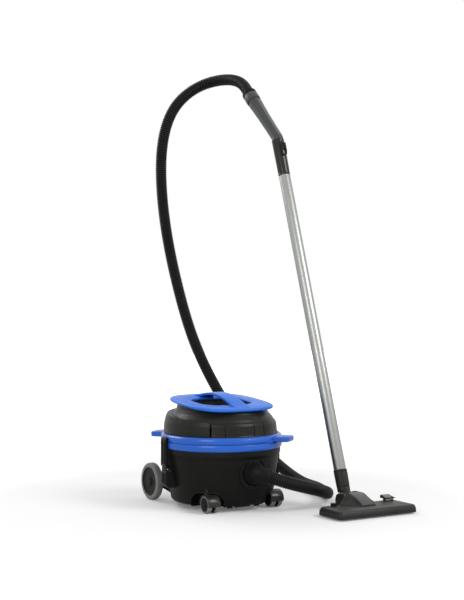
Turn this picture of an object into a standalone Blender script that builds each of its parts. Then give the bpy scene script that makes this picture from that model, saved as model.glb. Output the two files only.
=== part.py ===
"""Tub vacuum cleaner with hose, wand and floor head. Metres, +Z up, the front towards -Y."""

import math

import bmesh
import bpy
from mathutils import Matrix, Vector

# Tub
TUB_FLOOR_Z = 0.015
TUB_FOOT_R = 0.150
TUB_TOP_R = 0.172
TUB_TOP_Z = 0.157
TUB_RIM_R = TUB_TOP_R + 0.003
TUB_RIM_H = 0.017
TUB_WALL = 0.003
TUB_CORNER = 0.015

# The two rings that close the tub
RING_R = TUB_RIM_R + 0.005
RING_H = 0.0200
LUG_TIP_R = RING_R + 0.040
LUG_WIDTH = 0.070
LUG_THICK = 0.0145
LUG_ANGLES = (127, -53)

# Motor head
HEAD_R = TUB_RIM_R - 0.0075
HEAD_WALL = 0.003
HEAD_SHOULDER_Z = 0.2620
NECK_R = HEAD_R - 0.0375
RECESS_R = NECK_R - 0.042
BOWL_R = RECESS_R - 0.010
BOWL_DROP = 0.045
PANEL_RISE = 0.0035
PANEL_START = 101.25
PANEL_SWEEP = 135.0
PANEL_END = 230.0
PANEL_TOP_Z = 0.2670

# Top plate and its grip bar
PLATE_HALF_X = NECK_R + 0.006
PLATE_HALF_Y = NECK_R + 0.015
PLATE_POWER = 3.0
PLATE_THICK = 0.009
PLATE_TOP_Z = 0.3065
PLATE_TILT = 5.0
PLATE_OPEN_X = RECESS_R - 0.003
PLATE_OPEN_Y = RECESS_R - 0.017
GRIP_HALF_W = 0.025
GRIP_RISE = 0.0235
GRIP_THICK = 0.009

# Rear wheels
WHEEL_R = 0.056
WHEEL_W = 0.024
WHEEL_HUB_R = 0.0440
WHEEL_OUT_X = TUB_FOOT_R - 0.002
WHEEL_Y = TUB_FOOT_R + 0.033
AXLE_R = 0.004

# Front casters
CASTER_X = TUB_FOOT_R * 107 / 150
CASTER_Y = -TUB_FOOT_R * 102 / 150
CASTER_TRAIL = 0.016
CASTER_WHEEL_R = 0.025
CASTER_WHEEL_W = 0.0155
CASTER_HOOD_R = 0.0272
CASTER_STEM_R = 0.0055
ARCH_R = 0.0500
ARCH_TOP_Z = 0.063

# Latches
LATCH_ANGLES = (176, -4)
LATCH_W = 0.033
LATCH_PIVOT_R = RING_R + 0.0015
LATCH_PIVOT_Z = 0.1165
LATCH_FOOT_Z = 0.062
LATCH_THICK = 0.0080
LATCH_HOOK_Z = 0.2044

# Inlet and the hose
INLET_X = 0.012
INLET_Z = 0.112
INLET_R = 0.0345
INLET_PIPE_R = 0.0195
INLET_BORE_R = 0.0165
ELBOW_TURN = 65
ELBOW_DROP = 20
ELBOW_BEND_R = 0.030
HOSE_R = 0.0185
HOSE_GROOVE_R = 0.0168
HOSE_BORE_R = 0.0138
HOSE_RIBS = 124
HOSE_SIDES = 8

# Wand and handle
WAND_X = 0.262
WAND_R = 0.018
WAND_WALL = 0.0014
WAND_LOW = (-0.2370, 0.1110)
WAND_LEAN = 18.4
WAND_SEEN = 0.929
WAND_HIDDEN = 0.047
SLEEVE_LENGTH = 0.122
SLEEVE_R = 0.0195
SPIGOT_LENGTH = 0.045
GRIP_LEAN = 46.0
GRIP_LENGTH = 0.185
GRIP_BEND_R = 0.022
GRIP_R = 0.0220
HOSE_CUFF_R = 0.0240
HOSE_CUFF_LENGTH = 0.045

# Floor head
SHOE_W = 0.270
SHOE_FRONT_Y = -0.425
SHOE_REAR_Y = -0.310
SHOE_LOW_Z = 0.004
SHOE_TOP_Z = 0.0255
SHOE_WALL = 0.003
DOME_HALF_W = 0.038
DOME_FRONT_Y = -0.395
DOME_REAR_Y = -0.264
DOME_TOP_Z = 0.0595
TILT_Y = -0.285
TILT_Z = 0.034
BARREL_R = 0.0165
BARREL_HALF_W = 0.0225
BRISTLE_THICK = 0.0036
BRISTLE_H = 0.0120
PEDAL_W = 0.040
PEDAL_D = 0.027
PEDAL_TOP_Z = 0.041
ROLLER_R = 0.0070

GAP = 0.0003
ROUND = 32
SMALL_ROUND = 16

RING_LOW_Z = TUB_TOP_Z + TUB_RIM_H + GAP
RING_MID_Z = RING_LOW_Z + RING_H
RING_TOP_Z = RING_MID_Z + GAP + RING_H
LEDGE_Z = RING_MID_Z - 0.0040
WAND_UP = Vector((0, math.sin(math.radians(WAND_LEAN)), math.cos(math.radians(WAND_LEAN))))
WAND_FOOT = Vector((WAND_X, WAND_LOW[0], WAND_LOW[1]))
WAND_HEAD = WAND_FOOT + WAND_UP * WAND_SEEN
GRIP_UP = Vector((0, math.sin(math.radians(GRIP_LEAN)), math.cos(math.radians(GRIP_LEAN))))
SLEEVE_HEAD = WAND_HEAD + WAND_UP * SLEEVE_LENGTH
GRIP_FOOT = SLEEVE_HEAD + WAND_UP * 0.003 + (WAND_UP + GRIP_UP) * GRIP_BEND_R * math.tan(math.radians(GRIP_LEAN - WAND_LEAN) / 2)
CUFF_FOOT = GRIP_FOOT + GRIP_UP * GRIP_LENGTH
HOSE_END = CUFF_FOOT + GRIP_UP * HOSE_CUFF_LENGTH

LOOKS = {
    "blue": ((0.012, 0.105, 0.580), 0.38, 0.0),
    "black": ((0.014, 0.014, 0.012), 0.45, 0.0),
    "gloss black": ((0.020, 0.020, 0.018), 0.22, 0.0),
    "dark grey": ((0.045, 0.045, 0.042), 0.50, 0.0),
    "hose": ((0.018, 0.018, 0.018), 0.42, 0.0),
    "pale grey": ((0.320, 0.350, 0.310), 0.45, 0.0),
    "tyre grey": ((0.190, 0.200, 0.185), 0.60, 0.0),
    "rubber": ((0.020, 0.020, 0.020), 0.70, 0.0),
    "steel": ((0.560, 0.570, 0.550), 0.22, 1.0),
    "cloth": ((0.450, 0.440, 0.400), 0.90, 0.0),
    "card": ((0.420, 0.340, 0.240), 0.85, 0.0),
    "bristle": ((0.030, 0.030, 0.030), 0.80, 0.0),
}


def clear_scene():
    for item in list(bpy.data.objects):
        bpy.data.objects.remove(item, do_unlink=True)


def material(name, look):
    colour, roughness, metallic = LOOKS[look]
    made = bpy.data.materials.new(name)
    made.use_nodes = True
    shader = made.node_tree.nodes["Principled BSDF"]
    shader.inputs["Base Color"].default_value = (*colour, 1.0)
    shader.inputs["Roughness"].default_value = roughness
    shader.inputs["Metallic"].default_value = metallic
    made.diffuse_color = (*colour, 1.0)
    return made


def piece(name, bm, look=None, at=(0, 0, 0), turn=(0, 0, 0), smooth=40):
    """An object from a bmesh, in the machine's own frame. Without a look it is a cutter or a shape to join."""
    bmesh.ops.recalc_face_normals(bm, faces=bm.faces)
    mesh = bpy.data.meshes.new(name)
    bm.to_mesh(mesh)
    bm.free()
    mesh.shade_smooth()
    mesh.set_sharp_from_angle(angle=math.radians(smooth))
    made = bpy.data.objects.new(name, mesh)
    bpy.context.scene.collection.objects.link(made)
    made.parent = machine
    made.location = at
    made.rotation_euler = turn
    if look is None:
        made.hide_render = True
        made.display_type = "WIRE"
    else:
        mesh.materials.append(material(name, look))
    return made


def combine(target, other, operation):
    modifier = target.modifiers.new(operation.lower() + " " + other.name, "BOOLEAN")
    modifier.operation = operation
    modifier.solver = "EXACT"
    modifier.object = other
    return target


def cut(target, *others):
    for other in others:
        combine(target, other, "DIFFERENCE")
    return target


def join(target, *others):
    for other in others:
        combine(target, other, "UNION")
    return target


def turned(profile, steps=ROUND, start=0.0, sweep=360.0):
    """A closed profile of (radius, height) turned about Z."""
    bm = bmesh.new()
    points = [bm.verts.new((r, 0, z)) for r, z in profile]
    edges = []
    for first, second in zip(points, points[1:] + points[:1]):
        if first.co.x > 1e-7 or second.co.x > 1e-7:
            edges.append(bm.edges.new((first, second)))
    bmesh.ops.rotate(bm, verts=bm.verts, cent=(0, 0, 0), matrix=Matrix.Rotation(math.radians(start), 3, "Z"))
    whole = sweep >= 360.0
    if not whole:
        cap = bm.faces.new(points)
        bmesh.ops.delete(bm, geom=[cap], context="FACES_ONLY")
    made = bmesh.ops.spin(
        bm,
        geom=points + edges,
        cent=(0, 0, 0),
        axis=(0, 0, 1),
        angle=math.radians(sweep),
        steps=steps,
        use_merge=whole,
    )
    bmesh.ops.remove_doubles(bm, verts=bm.verts, dist=1e-6)
    if not whole:
        bmesh.ops.holes_fill(bm, edges=[edge for edge in bm.edges if edge.is_boundary])
    return bm


def rod(radius, low, high, steps=SMALL_ROUND, bore=0.0):
    if bore:
        return turned([(radius, low), (radius, high), (bore, high), (bore, low)], steps)
    return turned([(0, low), (radius, low), (radius, high), (0, high)], steps)


def lofted(levels):
    """Outlines of the same number of points in XY, each at its own height."""
    bm = bmesh.new()
    rings = [[bm.verts.new((x, y, z)) for x, y in outline] for outline, z in levels]
    for lower, upper in zip(rings, rings[1:]):
        for i in range(len(lower)):
            j = (i + 1) % len(lower)
            bm.faces.new((lower[i], lower[j], upper[j], upper[i]))
    bm.faces.new(rings[0][::-1])
    bm.faces.new(rings[-1])
    return bm


def slab(outline, low, high):
    return lofted([(outline, low), (outline, high)])


def crosswise(outline, low, high):
    """An outline of (y, z) points drawn out along X."""
    bm = slab(outline, low, high)
    for vert in bm.verts:
        y, z, x = vert.co
        vert.co = (x, y, z)
    return bm


def block(low, high):
    outline = [(low[0], low[1]), (high[0], low[1]), (high[0], high[1]), (low[0], high[1])]
    return slab(outline, low[2], high[2])


def rounded(centre, half_x, half_y, radius, steps=4):
    """A rectangle with round corners, anticlockwise."""
    points = []
    for quarter in range(4):
        corner_x = (half_x - radius) * (1, -1, -1, 1)[quarter]
        corner_y = (half_y - radius) * (1, 1, -1, -1)[quarter]
        for step in range(steps + 1):
            angle = math.pi / 2 * (quarter + step / steps)
            x = centre[0] + corner_x + radius * math.cos(angle)
            y = centre[1] + corner_y + radius * math.sin(angle)
            points.append((x, y))
    return points


def superellipse(half_x, half_y, power, count):
    points = []
    for i in range(count):
        angle = 2 * math.pi * i / count
        cosine = math.cos(angle)
        sine = math.sin(angle)
        x = half_x * math.copysign(abs(cosine) ** (2 / power), cosine)
        y = half_y * math.copysign(abs(sine) ** (2 / power), sine)
        points.append((x, y))
    return points


def frames_along(path):
    """A pair of side directions at each point, carried along without twist."""
    tangents = []
    for i in range(len(path)):
        before = path[max(i - 1, 0)]
        after = path[min(i + 1, len(path) - 1)]
        tangents.append((after - before).normalized())
    side = tangents[0].orthogonal().normalized()
    pairs = []
    for tangent in tangents:
        side = (side - tangent * side.dot(tangent)).normalized()
        pairs.append((side, tangent.cross(side)))
    return pairs


def tube_rings(bm, path, radii, sides):
    rings = []
    for point, (side, other), radius in zip(path, frames_along(path), radii):
        ring = []
        for k in range(sides):
            angle = 2 * math.pi * k / sides
            ring.append(bm.verts.new(point + radius * (side * math.cos(angle) + other * math.sin(angle))))
        rings.append(ring)
    for lower, upper in zip(rings, rings[1:]):
        for k in range(sides):
            m = (k + 1) % sides
            bm.faces.new((lower[k], lower[m], upper[m], upper[k]))
    return rings


def pipe(outer_path, outer_radii, inner_path, inner_radii, sides):
    """A tube with a bore through it, open at both ends."""
    bm = bmesh.new()
    outer = tube_rings(bm, outer_path, outer_radii, sides)
    inner = tube_rings(bm, inner_path, inner_radii, sides)
    for out_ring, in_ring in ((outer[0], inner[0]), (outer[-1], inner[-1])):
        for k in range(sides):
            m = (k + 1) % sides
            bm.faces.new((out_ring[k], out_ring[m], in_ring[m], in_ring[k]))
    return bm


def upright_along(direction):
    """The turn that lays an object's own Z along a direction."""
    return Vector(direction).to_track_quat("Z", "Y").to_euler()


def polar(radius, degrees, z=0.0):
    angle = math.radians(degrees)
    return Vector((radius * math.cos(angle), radius * math.sin(angle), z))


def tub_radius(z):
    return TUB_FOOT_R + (TUB_TOP_R - TUB_FOOT_R) * (z - 0.030) / (TUB_TOP_Z - 0.030)


def tub_outside(grow=0.0):
    """The tub's outer surface as a solid, grown all round."""
    profile = [(0, TUB_FLOOR_Z - grow), (TUB_FOOT_R - TUB_CORNER, TUB_FLOOR_Z - grow)]
    for step in (1, 2, 3):
        angle = math.radians(30 * step)
        r = TUB_FOOT_R - TUB_CORNER + (TUB_CORNER + grow) * math.sin(angle)
        z = TUB_FLOOR_Z + TUB_CORNER - (TUB_CORNER + grow) * math.cos(angle)
        profile.append((r, z))
    profile.append((TUB_TOP_R + grow, TUB_TOP_Z - grow))
    profile.append((TUB_RIM_R + grow, TUB_TOP_Z + 0.002 - grow))
    profile.append((TUB_RIM_R + grow, TUB_TOP_Z + TUB_RIM_H + grow))
    profile.append((0, TUB_TOP_Z + TUB_RIM_H + grow))
    return profile


def arch(name, radius, top, angle_side):
    return piece(name, rod(radius, TUB_FLOOR_Z - 0.010, top, 28), at=(angle_side * CASTER_X, CASTER_Y, 0))


def make_tub():
    tub = piece("tub", turned(tub_outside()), "black")
    wall = TUB_WALL
    inside = [
        (0, TUB_FLOOR_Z + wall),
        (TUB_FOOT_R - TUB_CORNER, TUB_FLOOR_Z + wall),
        (TUB_FOOT_R - wall - 0.002, TUB_FLOOR_Z + TUB_CORNER * 0.55),
        (TUB_FOOT_R - wall, TUB_FLOOR_Z + TUB_CORNER),
        (TUB_TOP_R - wall, TUB_TOP_Z),
        (TUB_TOP_R - wall, TUB_TOP_Z + TUB_RIM_H + 0.01),
        (0, TUB_TOP_Z + TUB_RIM_H + 0.01),
    ]
    hollow = piece("tub_hollow", turned(inside))
    for side, word in ((-1, "left"), (1, "right")):
        cut(hollow, arch("arch_wall_" + word, ARCH_R + wall, ARCH_TOP_Z + wall, side))
    cut(tub, hollow)
    for side, word in ((-1, "left"), (1, "right")):
        cut(tub, arch("arch_" + word, ARCH_R, ARCH_TOP_Z, side))
        socket = rod(CASTER_STEM_R + GAP, ARCH_TOP_Z - 0.002, ARCH_TOP_Z + wall + 0.004, 16)
        cut(tub, piece("stem_hole_" + word, socket, at=(side * CASTER_X, CASTER_Y, 0)))
    hole = rod(INLET_PIPE_R + GAP, TUB_FOOT_R - 0.010, TUB_RIM_R + 0.005, 24)
    cut(tub, piece("inlet_hole", hole, at=(INLET_X, 0, INLET_Z), turn=(math.radians(90), 0, 0)))


def make_rings():
    low = RING_LOW_Z
    mid = RING_MID_Z
    inner = TUB_TOP_R - 0.012
    bead = [(RING_R - 0.005, low), (RING_R, low + 0.005), (RING_R, mid - 0.006), (RING_R - 0.005, mid - 0.001)]
    ledge = [(RING_R - 0.005, mid - GAP), (HEAD_R + 0.0020, mid - GAP), (HEAD_R + 0.0020, LEDGE_Z), (inner, LEDGE_Z)]
    piece("tub_ring", turned(bead + ledge + [(inner, low)]), "blue")
    top = RING_TOP_Z
    inside = HEAD_R + 0.0006
    beads = [
        (inside, mid + GAP),
        (RING_R - 0.005, mid + GAP),
        (RING_R, mid + 0.005),
        (RING_R, top - 0.006),
        (RING_R - 0.003, top - 0.0015),
        (RING_R - 0.0075, top),
        (inside, top),
    ]
    ring = piece("head_ring", turned(beads), "blue")
    for number, angle in enumerate(LUG_ANGLES):
        reach = (LUG_TIP_R - RING_R + 0.006) / 2
        outline = rounded((LUG_TIP_R - reach, 0), reach, LUG_WIDTH / 2, 0.019, 5)
        inset = rounded((LUG_TIP_R - reach, 0), reach - 0.0025, LUG_WIDTH / 2 - 0.0025, 0.0165, 5)
        low_z = mid + 0.0012
        high_z = low_z + LUG_THICK
        levels = [(inset, low_z), (outline, low_z + 0.003), (outline, high_z - 0.003), (inset, high_z)]
        lug = piece("lug_%d" % number, lofted(levels), turn=(0, 0, math.radians(angle)))
        join(ring, lug)
    half = LATCH_W / 2 + 0.001
    hook_room = block((RING_R - 0.0055, -half, LATCH_HOOK_Z - 0.0004), (RING_R + 0.02, half, LATCH_HOOK_Z + 0.0038))
    rooms = [piece("hook_room_%d" % number, hook_room.copy(), turn=(0, 0, math.radians(angle))) for number, angle in enumerate(LATCH_ANGLES)]
    hook_room.free()
    cut(ring, *rooms)
    seal_low =LEDGE_Z + GAP + 0.0022 + GAP
    seal_high = mid - GAP
    piece("tub_seal", rod(HEAD_R + 0.0010, seal_low, seal_high, ROUND, HEAD_R - 0.010), "rubber")


def head_outside():
    base = RING_TOP_Z + 0.001
    lift = HEAD_SHOULDER_Z - 0.262
    return [
        (HEAD_R, RING_MID_Z + 0.0050),
        (HEAD_R, base),
        (HEAD_R - 0.0045, 0.245 + lift),
        (HEAD_R - 0.0075, 0.2522 + lift),
        (HEAD_R - 0.0105, 0.2530 + lift),
        (HEAD_R - 0.0105, 0.2545 + lift),
        (HEAD_R - 0.0155, HEAD_SHOULDER_Z),
        (HEAD_R - 0.0275, HEAD_SHOULDER_Z + 0.0135),
        (NECK_R + 0.0040, HEAD_SHOULDER_Z + 0.0230),
        (NECK_R, HEAD_SHOULDER_Z + 0.0360),
        (NECK_R, HEAD_SHOULDER_Z + 0.0640),
    ]


def make_head_cover():
    wall = HEAD_WALL
    outer = head_outside()
    floor = HEAD_SHOULDER_Z
    recess = [
        (RECESS_R, HEAD_SHOULDER_Z + 0.0640),
        (RECESS_R - 0.009, floor),
        (0, floor),
        (0, floor - wall),
        (RECESS_R - 0.006, floor - wall),
        (RECESS_R + 0.0035, floor + 0.017),
    ]
    inner = [
        (NECK_R - 0.004, floor + 0.017),
        (HEAD_R - 0.0310, floor + 0.0110),
        (HEAD_R - 0.0135, floor - 0.0105),
        (HEAD_R - wall - 0.0045, floor - 0.0180),
        (HEAD_R - wall, RING_TOP_Z),
        (HEAD_R - wall, RING_MID_Z + 0.0050),
    ]
    cover = piece("head_cover", turned(outer + recess + inner), "dark grey")
    slope = math.radians(PLATE_TILT)
    above = block((-0.2, -0.2, 0), (0.2, 0.2, 0.1))
    seat = (0, 0, PLATE_TOP_Z - PLATE_THICK - GAP)
    cut(cover, piece("plate_seat", above, at=seat, turn=(slope, 0, 0)))
    for name, angle, radius, z in (
        ("switch_hole", SWITCH_ANGLE, SWITCH_R + GAP, SWITCH_Z),
        ("gland_hole", GLAND_ANGLE, GLAND_R + GAP, SWITCH_Z),
    ):
        spot = polar(0, angle, z)
        turn = (0, math.radians(90), math.radians(angle))
        cut(cover, piece(name, rod(radius, HEAD_R - 0.030, HEAD_R + 0.010, 20), at=spot, turn=turn))


SWITCH_ANGLE = 60
SWITCH_R = 0.0110
SWITCH_Z = 0.2320
SWITCH_TRAVEL = 0.003
GLAND_ANGLE = 82
GLAND_R = 0.0080


def make_side_panel():
    lift = HEAD_SHOULDER_Z - 0.262
    clear = 0.0005
    outer = [
        (HEAD_R + clear, RING_TOP_Z + 0.0016),
        (HEAD_R + PANEL_RISE, RING_TOP_Z + 0.0016),
        (HEAD_R + PANEL_RISE, 0.2260 + lift),
        (HEAD_R + PANEL_RISE - 0.0015, 0.2450 + lift),
        (HEAD_R - 0.0025, 0.2650 + lift),
        (HEAD_R - 0.0075, 0.2746 + lift),
        (HEAD_R - 0.0125, 0.2860 + lift),
        (HEAD_R - 0.0331, 0.2860 + lift),
        (HEAD_R - 0.0275 + 0.0007, 0.2755 + lift),
        (HEAD_R - 0.0150 + clear, HEAD_SHOULDER_Z + clear),
        (HEAD_R - 0.0100 + clear, 0.2545 + lift),
        (HEAD_R - 0.0070 + clear, 0.2524 + lift),
        (HEAD_R - 0.0040 + clear, 0.2450 + lift),
    ]
    panel = piece("side_panel", turned(outer, round(ROUND * PANEL_SWEEP / 360), PANEL_START, PANEL_SWEEP), "gloss black")
    above = block((-0.25, -0.25, 0), (0.25, 0.25, 0.1))
    beyond = block((0.10, 0, 0.20), (0.20, 0.06, 0.31))
    cut(
        panel,
        piece("panel_top", above, at=(0, 0, PANEL_TOP_Z), turn=(math.radians(PLATE_TILT), 0, 0)),
        piece("panel_end", beyond, turn=(0, 0, math.radians(PANEL_END))),
    )


def make_controls():
    out = HEAD_R + 0.004
    angle = math.radians(SWITCH_ANGLE)
    button = turned(
        [(0, -0.014), (SWITCH_R, -0.014), (SWITCH_R, -0.0012), (SWITCH_R - 0.0012, 0), (0, 0)], 20
    )
    spot = polar(out, SWITCH_ANGLE, SWITCH_Z)
    piece("power_switch", button, "black", spot, (0, math.radians(90), angle))
    flange = HEAD_R - out + 0.0008
    gland = turned(
        [
            (0.0040, -0.012),
            (GLAND_R, -0.012),
            (GLAND_R, flange),
            (GLAND_R + 0.004, flange),
            (GLAND_R + 0.003, flange + 0.004),
            (0.0062, flange + 0.022),
            (0.0040, flange + 0.022),
        ],
        20,
    )
    spot = polar(out, GLAND_ANGLE, SWITCH_Z)
    piece("cord_gland", gland, "rubber", spot, (0, math.radians(90), math.radians(GLAND_ANGLE)))


def make_top_plate():
    half = PLATE_THICK / 2
    edge = 0.0030
    outline = superellipse(PLATE_HALF_X, PLATE_HALF_Y, PLATE_POWER, 44)
    inset = superellipse(PLATE_HALF_X - edge, PLATE_HALF_Y - edge, PLATE_POWER, 44)
    low = -PLATE_THICK
    levels = [(inset, low), (outline, low + edge), (outline, -edge), (inset, 0)]
    turn = (math.radians(PLATE_TILT), 0, 0)
    seat = (0, 0, PLATE_TOP_Z)
    plate = piece("top_plate", lofted(levels), "blue", seat, turn)
    opening = superellipse(PLATE_OPEN_X, PLATE_OPEN_Y, PLATE_POWER, 32)
    cut(plate, piece("plate_opening", slab(opening, low - 0.01, 0.01), at=seat, turn=turn))
    reach = PLATE_HALF_Y - 0.018
    count = 10
    upper = []
    lower = []
    for i in range(count + 1):
        t = -1 + 2 * i / count
        rise = GRIP_RISE * math.cos(t * math.pi / 2) ** 1.2
        upper.append((reach * t, rise + 0.0006))
        lower.append((reach * t * 0.98, max(rise - GRIP_THICK, -half)))
    bar = crosswise(upper + lower[::-1], -GRIP_HALF_W, GRIP_HALF_W)
    join(plate, piece("grip_bar", bar, at=seat, turn=turn))


def make_motor():
    plate_low = RING_MID_Z + 0.0001
    plate_high = plate_low + 0.0040
    bowl_low = plate_high - BOWL_DROP - 0.004
    skirt = BOWL_R - 0.003
    base = [
        (HEAD_R, plate_low),
        (HEAD_R, plate_high),
        (skirt, plate_high),
        (skirt, bowl_low + 0.003),
        (0.020, bowl_low + 0.003),
        (0.020, bowl_low),
        (BOWL_R, bowl_low),
        (BOWL_R, plate_low),
    ]
    piece("head_base", turned(base), "black")
    can = skirt - GAP * 2
    can_low = bowl_low + 0.003 + GAP
    can_high = plate_high - 0.002
    housing = [
        (can, can_low),
        (can, can_high),
        (can - 0.002, can_high),
        (can - 0.002, can_low + 0.002),
        (0.020, can_low + 0.002),
        (0.020, can_low),
    ]
    piece("fan_housing", turned(housing, 20), "steel")
    motor_low = can_high + GAP
    motor_high = HEAD_SHOULDER_Z - HEAD_WALL - 0.006
    motor = [
        (0.0043, motor_low),
        (can, motor_low),
        (can, motor_low + 0.002),
        (0.045, motor_low + 0.002),
        (0.045, motor_high - 0.006),
        (0.038, motor_high),
        (0, motor_high),
        (0, motor_low + 0.016),
        (0.0043, motor_low + 0.016),
    ]
    piece("motor_body", turned(motor, 20), "steel")
    wheel_low = can_low + 0.010
    fan = [
        (0, wheel_low - 0.004),
        (0.010, wheel_low - 0.004),
        (0.012, wheel_low),
        (can - 0.010, wheel_low),
        (can - 0.010, wheel_low + 0.012),
        (0.014, wheel_low + 0.018),
        (0.004, wheel_low + 0.019),
        (0.004, motor_low + 0.014),
        (0, motor_low + 0.014),
    ]
    piece("impeller", turned(fan, 20), "steel")


def make_filters():
    flange_r = HEAD_R + 0.0010
    low = LEDGE_Z + GAP
    high = low + 0.0022
    basket_r = HEAD_R - 0.0290
    foot = 0.1110
    basket = [
        (flange_r, low),
        (flange_r, high),
        (basket_r - 0.0030, high),
        (basket_r - 0.0060, foot + 0.003),
        (BOWL_R - 0.020, foot + 0.003),
        (BOWL_R - 0.020, foot),
        (basket_r - 0.003, foot),
        (basket_r, low),
    ]
    frame = piece("filter_basket", turned(basket), "black")
    for number in range(6):
        window = block((basket_r - 0.030, -0.050, foot + 0.014), (basket_r + 0.030, 0.050, low - 0.012))
        cut(frame, piece("window_%d" % number, window, turn=(0, 0, math.radians(30 + 60 * number))))
    cup_r = basket_r + 0.0005
    cup = [
        (cup_r, foot - 0.001),
        (cup_r, low - 0.0005),
        (cup_r + 0.003, low - 0.0005),
        (cup_r + 0.001, foot - 0.0035),
        (BOWL_R - 0.020, foot - 0.0035),
        (BOWL_R - 0.020, foot - 0.001),
    ]
    piece("cloth_filter", turned(cup), "cloth")


def make_dust_bag():
    low = TUB_FLOOR_Z + TUB_WALL + 0.001
    high = 0.1030
    bag_r = TUB_FOOT_R - 0.0580
    profile = [
        (0, low),
        (bag_r - 0.020, low),
        (bag_r - 0.004, low + 0.012),
        (bag_r, low + 0.035),
        (bag_r - 0.005, high - 0.012),
        (bag_r - 0.022, high),
        (0, high),
    ]
    bag = piece("dust_bag", turned(profile, 24), "card", smooth=60)
    collar_y = collar_face()
    back_y = collar_y + 0.0028
    neck = block((INLET_X - 0.026, back_y + GAP, high - 0.030), (INLET_X + 0.026, -0.060, high))
    tongue = block((INLET_X - 0.026, back_y + GAP, high - 0.010), (INLET_X + 0.026, back_y + 0.0030, INLET_Z + 0.024))
    join(bag, piece("bag_neck", neck), piece("bag_tongue", tongue))
    plate = block((INLET_X - 0.027, collar_y, INLET_Z - 0.022), (INLET_X + 0.027, back_y, INLET_Z + 0.026))
    collar = piece("bag_collar", plate, "card")
    for target, name in ((collar, "collar_hole"), (bag, "bag_mouth")):
        hole = rod(INLET_BORE_R, -collar_y - 0.0045, -collar_y + 0.0185, 20)
        cut(target, piece(name, hole, at=(INLET_X, 0, INLET_Z), turn=(math.radians(90), 0, 0)))


def elbow_line():
    """Centre points of the inlet elbow, its last point and the way it leaves."""
    turn = math.radians(ELBOW_TURN)
    drop = math.radians(ELBOW_DROP)
    sideways = Vector((math.cos(drop), 0, -math.sin(drop)))
    start = Vector((INLET_X, INLET_FACE_Y - GAP, INLET_Z))
    outward = Vector((0, -1, 0))
    bend = start + outward * 0.005
    points = [start, start + outward * 0.0045]
    for step in range(7):
        angle = turn * step / 6
        along = outward * math.sin(angle) + sideways * (1 - math.cos(angle))
        points.append(bend + ELBOW_BEND_R * along)
    leaving = outward * math.cos(turn) + sideways * math.sin(turn)
    points.append(points[-1] + leaving * 0.012)
    return points, leaving


INLET_FACE_Y = -tub_radius(INLET_Z) - 0.0063


def make_inlet():
    turn = (math.radians(90), 0, 0)
    at = (INLET_X, 0, INLET_Z)
    face = -INLET_FACE_Y
    back = face - 0.0305
    disc = [(0, back), (INLET_R, back), (INLET_R, face - 0.002), (INLET_R - 0.002, face), (0, face)]
    flange = piece("inlet_flange", turned(disc, 32), "black", at, turn)
    cut(flange, piece("tub_face", turned(tub_outside(GAP))))
    join(flange, piece("inlet_spigot", rod(INLET_PIPE_R, -collar_face() + GAP, face - 0.004, 24), at=at, turn=turn))
    cut(flange, piece("inlet_bore", rod(INLET_BORE_R, back - 0.01, face + 0.01, 20), at=at, turn=turn))
    path, _ = elbow_line()
    radii = [0.0310, 0.0310, 0.0292, 0.0278, 0.0266, 0.0256, 0.0248, 0.0242, 0.0235, 0.0235]
    elbow = pipe(path, radii, path, [INLET_BORE_R] * len(path), 16)
    piece("inlet_elbow", elbow, "black")


def collar_face():
    return -tub_radius(INLET_Z) + 0.0127


def curve_through(points, first_way, last_way, steps):
    """A smooth curve through the points, with its direction given at both ends."""
    count = len(points)
    spans = [(points[i + 1] - points[i]).length for i in range(count - 1)]
    bends = [Vector() for _ in points]
    for _ in range(400):
        bends[0] = ((points[1] - points[0]) / spans[0] - first_way) * 3 / spans[0] - bends[1] * 0.5
        for i in range(1, count - 1):
            before, after = spans[i - 1], spans[i]
            change = (points[i + 1] - points[i]) / after - (points[i] - points[i - 1]) / before
            pull = 6 * change - before * bends[i - 1] - after * bends[i + 1]
            bends[i] = pull / (2 * (before + after))
        bends[-1] = (last_way - (points[-1] - points[-2]) / spans[-1]) * 3 / spans[-1] - bends[-2] * 0.5
    curve = []
    for i, span in enumerate(spans):
        for step in range(steps):
            x = span * step / steps
            rest = span - x
            bend = (bends[i] * rest**3 + bends[i + 1] * x**3) / (6 * span)
            line = (points[i] / span - bends[i] * span / 6) * rest
            curve.append(bend + line + (points[i + 1] / span - bends[i + 1] * span / 6) * x)
    curve.append(points[-1].copy())
    return curve


def evenly_along(curve, count):
    """The given number of equal steps along a fine curve, and its length."""
    marks = [0.0]
    for before, after in zip(curve, curve[1:]):
        marks.append(marks[-1] + (after - before).length)
    points = []
    place = 0
    for i in range(count + 1):
        want = marks[-1] * i / count
        while place < len(marks) - 2 and marks[place + 1] < want:
            place += 1
        share = (want - marks[place]) / (marks[place + 1] - marks[place])
        points.append(curve[place].lerp(curve[place + 1], share))
    return points, marks[-1]


HOSE_ROUTE = [
    (0.172, -0.238, 0.062),
    (0.262, -0.172, 0.036),
    (0.319, -0.080, 0.021),
    (0.354, 0.015, 0.0200),
    (0.372, 0.115, 0.0215),
    (0.368, 0.210, 0.048),
    (0.334, 0.292, 0.108),
    (0.273, 0.352, 0.200),
    (0.203, 0.391, 0.326),
    (0.151, 0.432, 0.466),
    (0.111, 0.464, 0.630),
    (0.081, 0.489, 0.806),
    (0.064, 0.504, 1.006),
    (0.074, 0.508, 1.145),
    (0.118, 0.498, 1.260),
    (0.190, 0.463, 1.326),
    (0.244, 0.394, 1.342),
]


def hose_curve():
    elbow, leaving = elbow_line()
    start = elbow[-1] + leaving * GAP
    straight = 2 * HOSE_R
    points = [start, start + leaving * straight]
    points += [Vector(point) for point in HOSE_ROUTE]
    points += [HOSE_END + GRIP_UP * straight, HOSE_END + GRIP_UP * GAP]
    return curve_through(points, leaving, -GRIP_UP, 24)


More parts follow.
